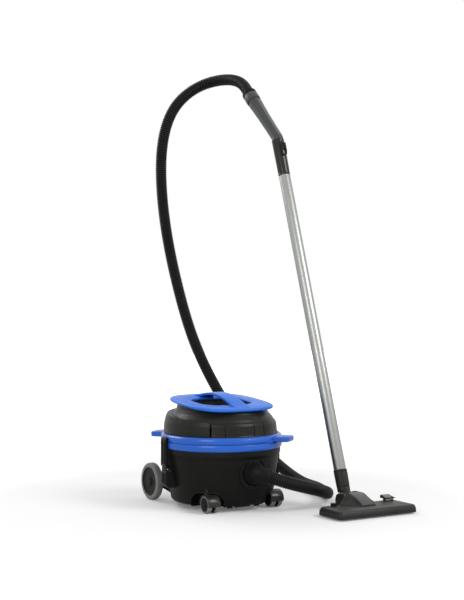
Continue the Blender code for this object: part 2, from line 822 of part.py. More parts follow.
def make_hose():
    curve = hose_curve()
    outer, length = evenly_along(curve, 2 * HOSE_RIBS)
    inner, _ = evenly_along(curve, HOSE_RIBS // 2)
    radii = [HOSE_R if i % 2 else HOSE_GROOVE_R for i in range(len(outer))]
    hose = pipe(outer, radii, inner, [HOSE_BORE_R] * len(inner), HOSE_SIDES)
    piece("hose", hose, "hose", smooth=80)
    print("hose length %.3f" % length)


def make_wand():
    lean = upright_along(WAND_UP)
    bore = WAND_R - WAND_WALL
    piece("wand", rod(WAND_R, -WAND_HIDDEN, WAND_SEEN, 24, bore), "steel", WAND_FOOT, lean)
    spigot = bore - GAP
    profile = [
        (spigot - 0.0020, -SPIGOT_LENGTH),
        (spigot, -SPIGOT_LENGTH + 0.001),
        (spigot, GAP),
        (WAND_R - 0.0003, GAP),
        (WAND_R + 0.0002, 0.006),
        (SLEEVE_R, SLEEVE_LENGTH - 0.020),
        (SLEEVE_R, SLEEVE_LENGTH - 0.001),
        (SLEEVE_R - 0.001, SLEEVE_LENGTH),
        (spigot - 0.0020, SLEEVE_LENGTH),
    ]
    sleeve = piece("handle_sleeve", turned(profile, 20), "gloss black", WAND_HEAD, lean)
    vent = block((-0.004, 0.010, SLIDER_LOW + 0.012), (0.004, 0.030, SLIDER_LOW + 0.024))
    cut(sleeve, piece("suction_vent", vent, at=WAND_HEAD, turn=lean))
    slider = block((-0.0090, SLEEVE_R - 0.004, SLIDER_LOW), (0.0090, SLEEVE_R + 0.0075, SLIDER_LOW + 0.042))
    made = piece("suction_slider", slider, "black", WAND_HEAD, lean)
    cut(made, piece("slider_seat", rod(SLEEVE_R + GAP, SLIDER_LOW - 0.02, SLIDER_LOW + 0.06, 32), at=WAND_HEAD, turn=lean))


SLIDER_LOW = 0.062
SLIDER_TRAVEL = 0.012


def make_handle():
    corner = SLEEVE_HEAD + WAND_UP * 0.003
    path = [SLEEVE_HEAD + WAND_UP * GAP, corner]
    bend = math.radians(GRIP_LEAN - WAND_LEAN)
    outward = Vector((0, WAND_UP.z, -WAND_UP.y))
    for step in range(1, 5):
        angle = bend * step / 4
        along = WAND_UP * math.sin(angle) + outward * (1 - math.cos(angle))
        path.append(corner + GRIP_BEND_R * along)
    stop = CUFF_FOOT - GRIP_UP * GAP
    joinery = path[-1]
    for share in (0.3, 0.65, 0.9, 1.0):
        path.append(joinery.lerp(stop, share))
    radii = [0.0184, 0.0182, 0.0180, 0.0178, 0.0178, 0.0180, 0.0192, 0.0208, GRIP_R, GRIP_R - 0.001]
    bores = [0.0142] * len(path)
    piece("handle_tube", pipe(path, radii, path, bores, 16), "dark grey")
    cuff = [
        (0.0142, 0),
        (HOSE_CUFF_R - 0.001, 0),
        (HOSE_CUFF_R, 0.003),
        (HOSE_CUFF_R, 0.012),
        (HOSE_CUFF_R - 0.0012, 0.014),
        (HOSE_CUFF_R - 0.0012, 0.018),
        (HOSE_CUFF_R, 0.020),
        (HOSE_CUFF_R - 0.0015, HOSE_CUFF_LENGTH - 0.004),
        (HOSE_R + 0.0008, HOSE_CUFF_LENGTH),
        (0.0142, HOSE_CUFF_LENGTH),
    ]
    piece("hose_cuff", turned(cuff, 24), "black", CUFF_FOOT, upright_along(GRIP_UP))


def make_neck():
    lean = upright_along(WAND_UP)
    outer = WAND_R + 0.0020
    stop = -WAND_HIDDEN - GAP
    profile = [
        (WAND_R + GAP, 0),
        (outer - 0.0005, 0),
        (outer, -0.002),
        (outer - 0.0010, stop - 0.004),
        (0.0130, stop - 0.004),
        (0.0130, stop),
        (WAND_R + GAP, stop),
    ]
    piece("neck_socket", turned(profile, 24), "dark grey", WAND_FOOT, lean)
    top = WAND_FOOT + WAND_UP * (stop - 0.004 - GAP)
    pivot = Vector((WAND_X, TILT_Y, TILT_Z))
    collar = turned([(0.0115, -0.0125), (0.0188, -0.0125), (0.0188, 0), (0.0115, 0)], 20)
    elbow = piece("neck_elbow", collar, "dark grey", top, lean)
    barrel = rod(BARREL_R, -BARREL_HALF_W, BARREL_HALF_W, 20)
    join(elbow, piece("neck_barrel", barrel, at=pivot, turn=(0, math.radians(90), 0)))
    low = top - WAND_UP * 0.0105
    way = pivot - low
    arm = rod(0.0155, 0, way.length, 16)
    join(elbow, piece("neck_arm", arm, at=low, turn=upright_along(way)))
    cut(elbow, piece("neck_bore", rod(0.0115, -0.003, way.length + 0.03, 12), at=low, turn=upright_along(way)))
    pin_hole = rod(0.0033, -0.05, 0.05, 12)
    cut(elbow, piece("barrel_hole", pin_hole, at=pivot, turn=(0, math.radians(90), 0)))
    pin = rod(0.0030, -DOME_HALF_W + 0.003, DOME_HALF_W - 0.003, 12)
    piece("neck_pin", pin, "steel", pivot, (0, math.radians(90), 0))


def shoe_outline(inset=0.0):
    """The floor head's plan: wide front, round rear corners and a tongue behind for the neck."""
    half = SHOE_W / 2 - inset
    front = SHOE_FRONT_Y + inset
    rear = SHOE_REAR_Y - inset
    points = []
    for corner, radius, start in (
        ((half, front), 0.010 - inset / 2, -90),
        ((half, rear), 0.020 - inset / 2, 0),
        ((-half, rear), 0.020 - inset / 2, 90),
        ((-half, front), 0.010 - inset / 2, 180),
    ):
        x = corner[0] - math.copysign(radius, corner[0])
        y = corner[1] + (radius if corner[1] == front else -radius)
        for step in range(4):
            angle = math.radians(start + 30 * step)
            points.append((WAND_X + x + radius * math.cos(angle), y + radius * math.sin(angle)))
    return points


def make_shoe():
    low = SHOE_LOW_Z
    top = SHOE_TOP_Z
    levels = [
        (shoe_outline(0.001), low),
        (shoe_outline(), low + 0.002),
        (shoe_outline(0.001), top - 0.008),
        (shoe_outline(0.006), top),
    ]
    shoe = piece("floor_head_body", lofted(levels), "dark grey")
    tongue_y = (DOME_REAR_Y, SHOE_REAR_Y - 0.020)
    cheeks = block((WAND_X - DOME_HALF_W, tongue_y[1], low + 0.004), (WAND_X + DOME_HALF_W, tongue_y[0], top))
    join(shoe, piece("neck_tongue", cheeks))
    cavity = slab(shoe_outline(SHOE_WALL + 0.004), low - 0.01, top - 0.005)
    cut(shoe, piece("shoe_cavity", cavity))
    gap_half = BARREL_HALF_W + 0.001
    way_in = block((WAND_X - gap_half, TILT_Y - 0.010, 0), (WAND_X + gap_half, DOME_REAR_Y + 0.01, 0.1))
    trough = rod(BARREL_R + 0.0015, -gap_half, gap_half, 24)
    pivot = (WAND_X, TILT_Y, TILT_Z)
    duct = block((WAND_X - 0.014, SHOE_REAR_Y - 0.020, low + 0.004), (WAND_X + 0.014, TILT_Y - 0.005, top - 0.008))
    neck_gap = piece("neck_gap", way_in)
    barrel_room = piece("barrel_room", trough, at=pivot, turn=(0, math.radians(90), 0))
    cut(shoe, neck_gap, barrel_room, piece("duct", duct))

    pedal_x = WAND_X + SHOE_W / 2 - PEDAL_W / 2 - 0.008
    pin_z = PEDAL_TOP_Z - 0.0105
    for side, word in ((-1, "left"), (1, "right")):
        centre = pedal_x + side * (PEDAL_W / 2 - 0.0055)
        ear = block((centre - 0.0015, PEDAL_Y - 0.004, top - 0.004), (centre + 0.0015, PEDAL_Y + 0.004, pin_z + 0.0035))
        join(shoe, piece("pedal_ear_" + word, ear))
    cross = (0, math.radians(90), 0)
    hole = rod(0.0018, -PEDAL_W / 2, PEDAL_W / 2, 12)
    cut(shoe, piece("pedal_pin_hole", hole, at=(pedal_x, PEDAL_Y, pin_z), turn=cross))
    pedal = crosswise(
        [
            (-PEDAL_D / 2, 0.0020),
            (PEDAL_D / 2, 0.0020),
            (PEDAL_D / 2, 0.0075),
            (PEDAL_D / 2 - 0.003, 0.0095),
            (0, 0.0105),
            (-PEDAL_D / 2, 0.0050),
        ],
        -PEDAL_W / 2,
        PEDAL_W / 2,
    )
    lever = piece("brush_pedal", pedal, "pale grey", (pedal_x, PEDAL_Y, pin_z))
    lug = crosswise([(-0.004, -0.003), (0.004, -0.003), (0.004, 0.004), (-0.004, 0.004)], -PEDAL_W / 2 + 0.0080, PEDAL_W / 2 - 0.0080)
    join(lever, piece("pedal_lug", lug, at=(pedal_x, PEDAL_Y, pin_z)))
    for side, word in ((-1, "left"), (1, "right")):
        centre = side * (PEDAL_W / 2 - 0.0055)
        room = block((centre - 0.0022, -0.0060, -0.01), (centre + 0.0022, 0.0060, 0.0046))
        cut(lever, piece("ear_room_" + word, room, at=(pedal_x, PEDAL_Y, pin_z)))
    cut(lever, piece("pedal_bore", rod(0.0018, -PEDAL_W, PEDAL_W, 12), at=(pedal_x, PEDAL_Y, pin_z), turn=cross))
    pin = rod(0.0015, -PEDAL_W / 2 + 0.0015, PEDAL_W / 2 - 0.0015, 12)
    piece("pedal_pin", pin, "steel", (pedal_x, PEDAL_Y, pin_z), cross)

    knob = turned([(0, 0), (0.0090, 0), (0.0090, 0.0065), (0.0075, 0.0085), (0, 0.0085)], 20)
    piece("head_knob", knob, "black", (WAND_X - 0.085, SHOE_REAR_Y - 0.014, top + GAP))
    make_dome(barrel_room)
    make_sole(top)


PEDAL_Y = -0.326


def make_dome(barrel_room):
    low = SHOE_TOP_Z + GAP
    outline = [
        (DOME_FRONT_Y, low),
        (DOME_REAR_Y, low),
        (DOME_REAR_Y, low + 0.012),
        (DOME_REAR_Y - 0.006, DOME_TOP_Z - 0.010),
        (DOME_REAR_Y - 0.018, DOME_TOP_Z - 0.002),
        (DOME_REAR_Y - 0.032, DOME_TOP_Z),
        (DOME_REAR_Y - 0.055, DOME_TOP_Z - 0.002),
        (DOME_REAR_Y - 0.085, DOME_TOP_Z - 0.011),
        (DOME_FRONT_Y + 0.012, low + 0.009),
        (DOME_FRONT_Y, low + 0.003),
    ]
    dome = piece("dome_cover", crosswise(outline, WAND_X - DOME_HALF_W, WAND_X + DOME_HALF_W), "gloss black")
    slot_half = 0.0200
    slot = block((WAND_X - slot_half, TILT_Y - 0.0175, low - 0.01), (WAND_X + slot_half, DOME_REAR_Y + 0.01, 0.1))
    hollow = block((WAND_X - 0.030, DOME_FRONT_Y + 0.020, low - 0.01), (WAND_X + 0.030, TILT_Y - 0.022, low + 0.006))
    pin_hole = rod(0.0033, -DOME_HALF_W + 0.0025, DOME_HALF_W - 0.0025, 12)
    turn = (0, math.radians(90), 0)
    cut(dome, barrel_room, piece("neck_slot", slot), piece("dome_hollow", hollow))
    cut(dome, piece("dome_pin_hole", pin_hole, at=(WAND_X, TILT_Y, TILT_Z), turn=turn))


def make_sole(top):
    low = SHOE_LOW_Z
    plan = shoe_outline(SHOE_WALL + 0.004 + 0.0004)
    sole = piece("sole_plate", slab(plan, low - 0.0010, low + 0.0008), "steel")
    mouth = rounded((WAND_X, MOUTH_Y), 0.095, 0.014, 0.010, 3)
    cut(sole, piece("mouth", slab(mouth, low - 0.01, low + 0.01)))
    length = SHOE_W / 2 - 0.018
    for word, y, half in (("front", BRUSH_FRONT_Y, length), ("rear", BRUSH_REAR_Y, length - 0.020)):
        thick = BRISTLE_THICK / 2
        room = block((WAND_X - half - 0.001, y - thick - 0.0006, low - 0.01), (WAND_X + half + 0.001, y + thick + 0.0006, low + 0.01))
        cut(sole, piece("slot_" + word, room))
        strip = block((-half, -thick, 0.0001), (half, thick, BRISTLE_H))
        piece("brush_" + word, strip, "bristle", (WAND_X, y, 0))
    for side, word in ((-1, "left"), (1, "right")):
        x = WAND_X + side * 0.070
        room = block((x - 0.0080, ROLLER_Y - 0.0080, low - 0.01), (x + 0.0080, ROLLER_Y + 0.0080, low + 0.01))
        cut(sole, piece("roller_room_" + word, room))
        profile = [(0, -0.0110), (0.0017, -0.0110), (0.0017, -0.0060), (ROLLER_R, -0.0060)]
        profile += [(ROLLER_R, 0.0060), (0.0017, 0.0060), (0.0017, 0.0110), (0, 0.0110)]
        roller = turned(profile, 12)
        piece("sole_roller_" + word, roller, "rubber", (x, ROLLER_Y, ROLLER_R), (0, math.radians(90), 0))


MOUTH_Y = -0.380
BRUSH_FRONT_Y = -0.409
BRUSH_REAR_Y = -0.331
ROLLER_Y = -0.350


def make_rear_wheels():
    half = WHEEL_W / 2
    across = (0, math.radians(90), 0)
    axle_half = WHEEL_OUT_X - 0.006
    piece("rear_axle", rod(AXLE_R, -axle_half, axle_half, 16), "steel", (0, WHEEL_Y, WHEEL_R), across)
    for side, word in ((-1, "left"), (1, "right")):
        spot = (side * (WHEEL_OUT_X - half), WHEEL_Y, WHEEL_R)
        turn = (0, math.radians(90 * side), 0)
        tyre = [
            (WHEEL_HUB_R + GAP, -half + 0.001),
            (WHEEL_R - 0.005, -half + 0.001),
            (WHEEL_R - 0.001, -half + 0.005),
            (WHEEL_R, 0),
            (WHEEL_R - 0.001, half - 0.005),
            (WHEEL_R - 0.005, half - 0.001),
            (WHEEL_HUB_R + GAP, half - 0.001),
        ]
        piece("rear_tyre_" + word, turned(tyre, 24), "tyre grey", spot, turn)
        hub = [
            (AXLE_R + GAP, -half),
            (0.012, -half),
            (0.014, -half + 0.004),
            (WHEEL_HUB_R - 0.004, -half + 0.004),
            (WHEEL_HUB_R, -half + 0.002),
            (WHEEL_HUB_R, half - 0.002),
            (WHEEL_HUB_R - 0.004, half - 0.0005),
            (0.016, half - 0.004),
            (0.013, half),
            (0, half),
            (0, half - 0.0055),
            (AXLE_R + GAP, half - 0.0055),
        ]
        piece("rear_hub_" + word, turned(hub, 24), "black", spot, turn)
        low_x = WHEEL_OUT_X - 0.056
        high_x = WHEEL_OUT_X - WHEEL_W - 0.003
        root_y = WHEEL_Y - 0.093
        outline = [(root_y, 0.030), (WHEEL_Y, WHEEL_R - 0.012), (WHEEL_Y + 0.012, WHEEL_R - 0.004)]
        outline += [(WHEEL_Y + 0.012, WHEEL_R + 0.006), (WHEEL_Y, WHEEL_R + 0.014), (root_y, 0.095)]
        arm = crosswise(outline, low_x, high_x)
        if side < 0:
            bmesh.ops.scale(arm, vec=(-1, 1, 1), verts=arm.verts)
        bracket = piece("wheel_bracket_" + word, arm, "black")
        cut(bracket, piece("tub_side_" + word, turned(tub_outside(GAP))))
        hole = rod(AXLE_R + GAP, -0.15, 0.15, 16)
        cut(bracket, piece("axle_hole_" + word, hole, at=(0, WHEEL_Y, WHEEL_R), turn=across))


def make_casters():
    across = (0, math.radians(90), 0)
    gap = 0.0042
    for side, word in ((-1, "left"), (1, "right")):
        axis = Vector((side * CASTER_X, CASTER_Y, 0))
        centre = axis + Vector((0, -CASTER_TRAIL, CASTER_WHEEL_R))
        half = gap + CASTER_WHEEL_W + 0.0005
        fender = []
        web = [(0.0060, -0.0060)]
        for step in range(8):
            angle = math.radians(-5 + 28 * step)
            fender.append((CASTER_HOOD_R * math.cos(angle), CASTER_HOOD_R * math.sin(angle)))
            web.append(fender[-1])
        for step in reversed(range(8)):
            angle = math.radians(-5 + 28 * step)
            inner = CASTER_WHEEL_R + 0.0006
            fender.append((inner * math.cos(angle), inner * math.sin(angle)))
        hood = piece("caster_hood_" + word, crosswise(fender, -half, half), "gloss black", axis)
        hood.data.transform(Matrix.Translation(centre - axis))
        join(hood, piece("caster_web_" + word, crosswise(web, -gap + 0.0006, gap - 0.0006), at=centre))
        top = ARCH_TOP_Z - GAP
        stem = [(0, 0.044), (0.0085, 0.044), (0.0085, top), (CASTER_STEM_R, top)]
        stem += [(CASTER_STEM_R, ARCH_TOP_Z + TUB_WALL), (0, ARCH_TOP_Z + TUB_WALL)]
        join(hood, piece("caster_stem_" + word, turned(stem, 16), at=axis))
        hole = rod(0.0033, -0.03, 0.03, 12)
        room = rod(CASTER_WHEEL_R + 0.0006, gap - 0.0004, 0.03, 20)
        cut(hood, piece("caster_hole_" + word, hole, at=centre, turn=across))
        for way, letter in ((-1, "a"), (1, "b")):
            spot = centre + Vector((way * gap, 0, 0))
            cut(hood, piece("wheel_room_%s_%s" % (word, letter), room.copy(), at=centre, turn=(0, math.radians(90 * way), 0)))
            wide = CASTER_WHEEL_W
            profile = [
                (0.0033, 0),
                (CASTER_WHEEL_R - 0.001, 0),
                (CASTER_WHEEL_R, 0.002),
                (CASTER_WHEEL_R, wide - 0.004),
                (CASTER_WHEEL_R - 0.004, wide),
                (0, wide),
                (0, wide - 0.003),
                (0.0033, wide - 0.003),
            ]
            name = "caster_wheel_%s_%s" % (word, letter)
            piece(name, turned(profile, 18), "black", spot, (0, math.radians(90 * way), 0))
        room.free()
        reach = gap + CASTER_WHEEL_W - 0.0035
        piece("caster_axle_" + word, rod(0.0030, -reach, reach, 12), "steel", centre, across)


def make_latches():
    for angle, word in zip(LATCH_ANGLES, ("left", "right")):
        turn = (0, 0, math.radians(angle))
        half = LATCH_W / 2
        ear = 0.0042
        barrel_half = half - ear - 0.0003
        inner_r = tub_radius(LATCH_FOOT_Z) - 0.006
        outline = [
            (inner_r, LATCH_FOOT_Z),
            (LATCH_PIVOT_R - 0.0040, LATCH_FOOT_Z),
            (LATCH_PIVOT_R + 0.0050, LATCH_FOOT_Z + 0.0080),
            (LATCH_PIVOT_R + 0.0062, LATCH_PIVOT_Z - 0.0090),
            (LATCH_PIVOT_R + 0.0038, LATCH_PIVOT_Z - 0.0065),
            (LATCH_PIVOT_R + 0.0038, LATCH_PIVOT_Z + 0.0050),
            (LATCH_PIVOT_R + 0.0020, LATCH_PIVOT_Z + 0.0062),
            (inner_r, LATCH_PIVOT_Z + 0.0062),
        ]
        bracket = piece("latch_bracket_" + word, lengthwise(outline, -half, half), "black", turn=turn)
        cut(bracket, piece("tub_behind_latch_" + word, turned(tub_outside(GAP))))
        room = lengthwise(
            [
                (LATCH_PIVOT_R - 0.0062, LATCH_PIVOT_Z - 0.0062),
                (LATCH_PIVOT_R + 0.02, LATCH_PIVOT_Z - 0.0062),
                (LATCH_PIVOT_R + 0.02, LATCH_PIVOT_Z + 0.02),
                (LATCH_PIVOT_R - 0.0062, LATCH_PIVOT_Z + 0.02),
            ],
            -half + ear,
            half - ear,
        )
        cut(bracket, piece("barrel_room_" + word, room, turn=turn))
        pivot = polar(LATCH_PIVOT_R, angle, LATCH_PIVOT_Z)
        swing = (math.radians(90), 0, math.radians(angle))
        cut(bracket, piece("latch_pin_hole_" + word, rod(0.0019, -half - 0.01, half + 0.01, 12), at=pivot, turn=swing))
        back = RING_R + 0.0007 - LATCH_PIVOT_R
        front = back + LATCH_THICK
        bottom = 0.0092
        top = LATCH_HOOK_Z - LATCH_PIVOT_Z
        plate = [
            (back, bottom),
            (front - 0.001, bottom),
            (front, bottom + 0.004),
            (front, top - 0.002),
            (front - 0.004, top + 0.0032),
            (back - 0.0055, top + 0.0032),
            (back - 0.0055, top),
            (back, top),
        ]
        lever = piece("latch_lever_" + word, lengthwise(plate, -half, half), "black", pivot, turn)
        tail = [(-0.0042, -0.0042), (0.0042, -0.0042), (0.0046, bottom + 0.003), (back, bottom + 0.003), (-0.0042, 0.0042)]
        join(lever, piece("latch_tail_" + word, lengthwise(tail, -barrel_half, barrel_half), at=pivot, turn=turn))
        for way in (-1, 1):
            middle = way * LATCH_W * 0.24
            rib = lengthwise(
                [(front - 0.001, bottom + 0.008), (front + 0.0018, bottom + 0.012), (front + 0.0018, top - 0.012), (front - 0.001, top - 0.006)],
                middle - 0.0022,
                middle + 0.0022,
            )
            join(lever, piece("latch_rib_%s_%d" % (word, way), rib, at=pivot, turn=turn))
        cut(lever, piece("latch_bore_" + word, rod(0.0019, -half, half, 12), at=pivot, turn=swing))
        piece("latch_pin_" + word, rod(0.0016, -half + 0.0005, half - 0.0005, 12), "steel", pivot, swing)


def lengthwise(outline, low, high):
    """An outline of (x, z) points drawn out along Y."""
    bm = slab(outline, low, high)
    for vert in bm.verts:
        x, z, y = vert.co
        vert.co = (x, y, z)
    return bm


def frame_shift():
    """From the tub's centre line to the middle of the machine's own box, the hose left out."""
    latch_front = RING_R + 0.0007 + LATCH_THICK + 0.0018
    low_x = polar(latch_front, LATCH_ANGLES[0]).x - polar(LATCH_W * 0.24 + 0.0022, LATCH_ANGLES[0]).y
    high_x = WAND_X + SHOE_W / 2
    low_y = SHOE_FRONT_Y
    high_y = CUFF_FOOT.y + GRIP_UP.y * HOSE_CUFF_LENGTH + (HOSE_R + 0.0008) * GRIP_UP.z
    return (low_x + high_x) / 2, (low_y + high_y) / 2


clear_scene()
shift = frame_shift()
machine = bpy.data.objects.new("machine", None)
bpy.context.scene.collection.objects.link(machine)
machine.location = (-shift[0], -shift[1], 0)

make_tub()
make_rings()
make_head_cover()
make_side_panel()
make_controls()
make_top_plate()
make_motor()
make_filters()
make_dust_bag()
make_inlet()
make_hose()
make_wand()
make_handle()
make_neck()
make_shoe()
make_rear_wheels()
make_casters()
make_latches()
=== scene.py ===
import bmesh
import bpy
import math
import random
from mathutils import Matrix, Vector


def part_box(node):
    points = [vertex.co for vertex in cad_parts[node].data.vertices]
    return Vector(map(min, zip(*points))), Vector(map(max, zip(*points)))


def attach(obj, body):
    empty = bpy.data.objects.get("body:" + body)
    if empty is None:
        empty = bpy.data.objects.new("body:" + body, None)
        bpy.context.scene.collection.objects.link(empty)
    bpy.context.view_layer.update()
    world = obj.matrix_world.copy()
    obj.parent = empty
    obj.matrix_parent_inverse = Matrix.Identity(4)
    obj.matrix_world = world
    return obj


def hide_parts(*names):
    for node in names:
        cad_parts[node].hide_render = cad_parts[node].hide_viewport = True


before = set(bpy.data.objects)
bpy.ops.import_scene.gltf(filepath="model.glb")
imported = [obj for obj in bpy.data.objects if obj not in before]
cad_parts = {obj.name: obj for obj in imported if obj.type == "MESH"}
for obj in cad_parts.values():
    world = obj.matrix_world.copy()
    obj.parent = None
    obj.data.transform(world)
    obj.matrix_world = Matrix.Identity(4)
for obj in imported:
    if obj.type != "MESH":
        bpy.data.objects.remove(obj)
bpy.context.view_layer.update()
tubLow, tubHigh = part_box("tub")
machineMiddle = Vector(((tubLow[0] + tubHigh[0]) / 2, (tubLow[1] + tubHigh[1]) / 2, 0))
print("frame loaded, tub stands at", tuple(round(v, 4) for v in machineMiddle))

# the camera stands where the photographer stood
cameraSetting = {"place": (-1.863, -3.162, 0.606), "looksAlong": (0.515, 0.857, 0.0), "lens": 74.16}


def makeCamera():
    data = bpy.data.cameras.new("camera")
    data.lens = cameraSetting["lens"]
    data.sensor_width = 36
    camera = bpy.data.objects.new("camera", data)
    bpy.context.scene.collection.objects.link(camera)
    camera.location = machineMiddle + Vector(cameraSetting["place"])
    camera.rotation_euler = Vector(cameraSetting["looksAlong"]).to_track_quat("-Z", "Y").to_euler()
    bpy.context.scene.camera = camera


makeCamera()


# shader groups, built once and placed in each material
def newGroup(name, inputs):
    # a socket's kind follows from its value: 4 numbers are a colour, 3 a vector
    tree = bpy.data.node_groups.new(name, "ShaderNodeTree")
    for label, value in inputs.items():
        kind = {4: "Color", 3: "Vector", 1: "Float"}[len(value) if isinstance(value, tuple) else 1]
        socket = tree.interface.new_socket(label, in_out="INPUT", socket_type="NodeSocket" + kind)
        socket.default_value = value
    for label, kind in (("Colour", "Color"), ("Roughness", "Float"), ("Normal", "Vector")):
        tree.interface.new_socket(label, in_out="OUTPUT", socket_type="NodeSocket" + kind)
    return tree, tree.nodes.new("NodeGroupInput").outputs, tree.nodes.new("NodeGroupOutput").inputs


def node(tree, kind, **settings):
    made = tree.nodes.new("ShaderNode" + kind)
    for key, value in settings.items():
        setattr(made, key, value)
    return made


def feed(tree, socket, value):
    if isinstance(value, bpy.types.NodeSocket):
        tree.links.new(value, socket)
    else:
        socket.default_value = value


def noiseAt(tree, place, scale, detail=2.0):
    noise = node(tree, "TexNoise")
    for label, value in (("Detail", detail), ("Vector", place), ("Scale", scale)):
        feed(tree, noise.inputs[label], value)
    return noise.outputs["Fac"]


def worked(tree, operation, *values):
    made = node(tree, "Math", operation=operation)
    for socket, value in zip(made.inputs, values):
        feed(tree, socket, value)
    return made.outputs[0]


def times(tree, first, second):
    return worked(tree, "MULTIPLY", first, second)


def plus(tree, first, second):
    return worked(tree, "ADD", first, second)


def remap(tree, value, *bounds):
    made = node(tree, "MapRange")
    for label, number in zip(("Value", "From Min", "From Max", "To Min", "To Max"), (value, *bounds)):
        feed(tree, made.inputs[label], number)
    return made.outputs["Result"]


def tinted(tree, share, first, second, blend="MIX"):
    made = node(tree, "Mix", data_type="RGBA", blend_type=blend)
    for label, value in ((0, share), (6, first), (7, second)):
        feed(tree, made.inputs[label], value)
    return made.outputs[2]


def finishGroup(tree, out, colour, rough, height, strength, distance):
    bump = node(tree, "Bump")
    for label, value in (("Distance", distance), ("Strength", strength), ("Height", height)):
        feed(tree, bump.inputs[label], value)
    for label, value in (("Colour", colour), ("Roughness", rough), ("Normal", bump.outputs["Normal"])):
        tree.links.new(value, out[label])
    return tree


def mouldedGroup():
    tree, given, out = newGroup("mouldedSurface", {"Colour": (0.1, 0.1, 0.1, 1), "Roughness": 0.4, "Smudge": 0.08,
            "Grain Size": 900.0, "Grain Depth": 0.2, "Mottle": 0.1, "Edge Wear": 0.3, "Dust": 0.05})
    place = node(tree, "TexCoord").outputs["Object"]
    geometry = node(tree, "NewGeometry")
    cloudy = noiseAt(tree, place, 14.0, 4.0)
    broad = noiseAt(tree, place, 3.5, 2.0)
    fine = noiseAt(tree, place, given["Grain Size"], 3.0)

    mottle = plus(tree, times(tree, remap(tree, cloudy, 0.3, 0.7, -1.0, 1.0), given["Mottle"]), 1.0)
    spread = node(tree, "CombineXYZ")
    for socket in spread.inputs:
        tree.links.new(mottle, socket)
    colour = tinted(tree, 1.0, given["Colour"], spread.outputs[0], "MULTIPLY")

    edge = times(tree, remap(tree, geometry.outputs["Pointiness"], 0.515, 0.56, 0.0, 1.0), given["Edge Wear"])
    edge = times(tree, edge, remap(tree, cloudy, 0.4, 0.65, 0.2, 1.0))
    pale = tinted(tree, 1.0, given["Colour"], (0.035, 0.035, 0.035, 1), "ADD")
    colour = tinted(tree, edge, colour, pale)

    upward = node(tree, "SeparateXYZ")
    tree.links.new(geometry.outputs["Normal"], upward.inputs[0])
    dusty = remap(tree, upward.outputs["Z"], 0.55, 1.0, 0.0, 1.0)
    dusty = times(tree, dusty, remap(tree, broad, 0.35, 0.7, 0.15, 1.0))
    dusty = times(tree, dusty, given["Dust"])
    colour = tinted(tree, dusty, colour, (0.3, 0.29, 0.27, 1))

    rough = times(tree, remap(tree, broad, 0.3, 0.7, -1.0, 1.0), given["Smudge"])
    rough = plus(tree, plus(tree, rough, given["Roughness"]), times(tree, dusty, 0.6))
    return finishGroup(tree, out, colour, rough, fine, given["Grain Depth"], 0.0004)


def drawnMetalGroup():
    tree, given, out = newGroup("drawnMetal", {"Colour": (0.6, 0.6, 0.6, 1), "Roughness": 0.25, "Streak Depth": 0.15,
            "Streak Size": 700.0, "Along": (0.0, 0.0, 1.0), "Tarnish": 0.1})
    place = node(tree, "TexCoord").outputs["Object"]
    # the streaks run along the tube: its length is pressed almost flat before the noise is read
    dot = node(tree, "VectorMath", operation="DOT_PRODUCT")
    feed(tree, dot.inputs[0], place)
    feed(tree, dot.inputs[1], given["Along"])
    back = node(tree, "VectorMath", operation="SCALE")
    feed(tree, back.inputs[0], given["Along"])
    feed(tree, back.inputs["Scale"], times(tree, dot.outputs["Value"], 0.985))
    flat = node(tree, "VectorMath", operation="SUBTRACT")
    feed(tree, flat.inputs[0], place)
    feed(tree, flat.inputs[1], back.outputs[0])
    streak = noiseAt(tree, flat.outputs[0], given["Streak Size"], 3.0)
    cloudy = noiseAt(tree, place, 22.0, 3.0)
    shade = times(tree, remap(tree, cloudy, 0.35, 0.7, 0.0, 1.0), given["Tarnish"])
    dull = tinted(tree, 1.0, given["Colour"], (0.72, 0.71, 0.68, 1), "MULTIPLY")
    colour = tinted(tree, shade, given["Colour"], dull)
    rough = plus(tree, given["Roughness"], remap(tree, streak, 0.3, 0.7, -0.05, 0.06))
    rough = plus(tree, rough, times(tree, shade, 0.5))
    return finishGroup(tree, out, colour, rough, streak, given["Streak Depth"], 0.0001)


def fibreGroup():
    tree, given, out = newGroup("fibreSurface", {"Colour": (0.5, 0.48, 0.42, 1), "Fibre Size": 500.0,
            "Fibre Depth": 0.5, "Soiling": 0.2})
    place = node(tree, "TexCoord").outputs["Object"]
    fibre = noiseAt(tree, place, given["Fibre Size"], 5.0)
    cloudy = noiseAt(tree, place, 18.0, 3.0)
    dirty = times(tree, remap(tree, cloudy, 0.35, 0.75, 0.0, 1.0), given["Soiling"])
    deep = tinted(tree, 1.0, given["Colour"], (0.5, 0.47, 0.42, 1), "MULTIPLY")
    colour = tinted(tree, dirty, given["Colour"], deep)
    colour = tinted(tree, remap(tree, fibre, 0.3, 0.6, 0.35, 0.0), colour, deep)
    return finishGroup(tree, out, colour, remap(tree, fibre, 0.3, 0.7, 0.95, 0.8), fibre, given["Fibre Depth"], 0.0006)


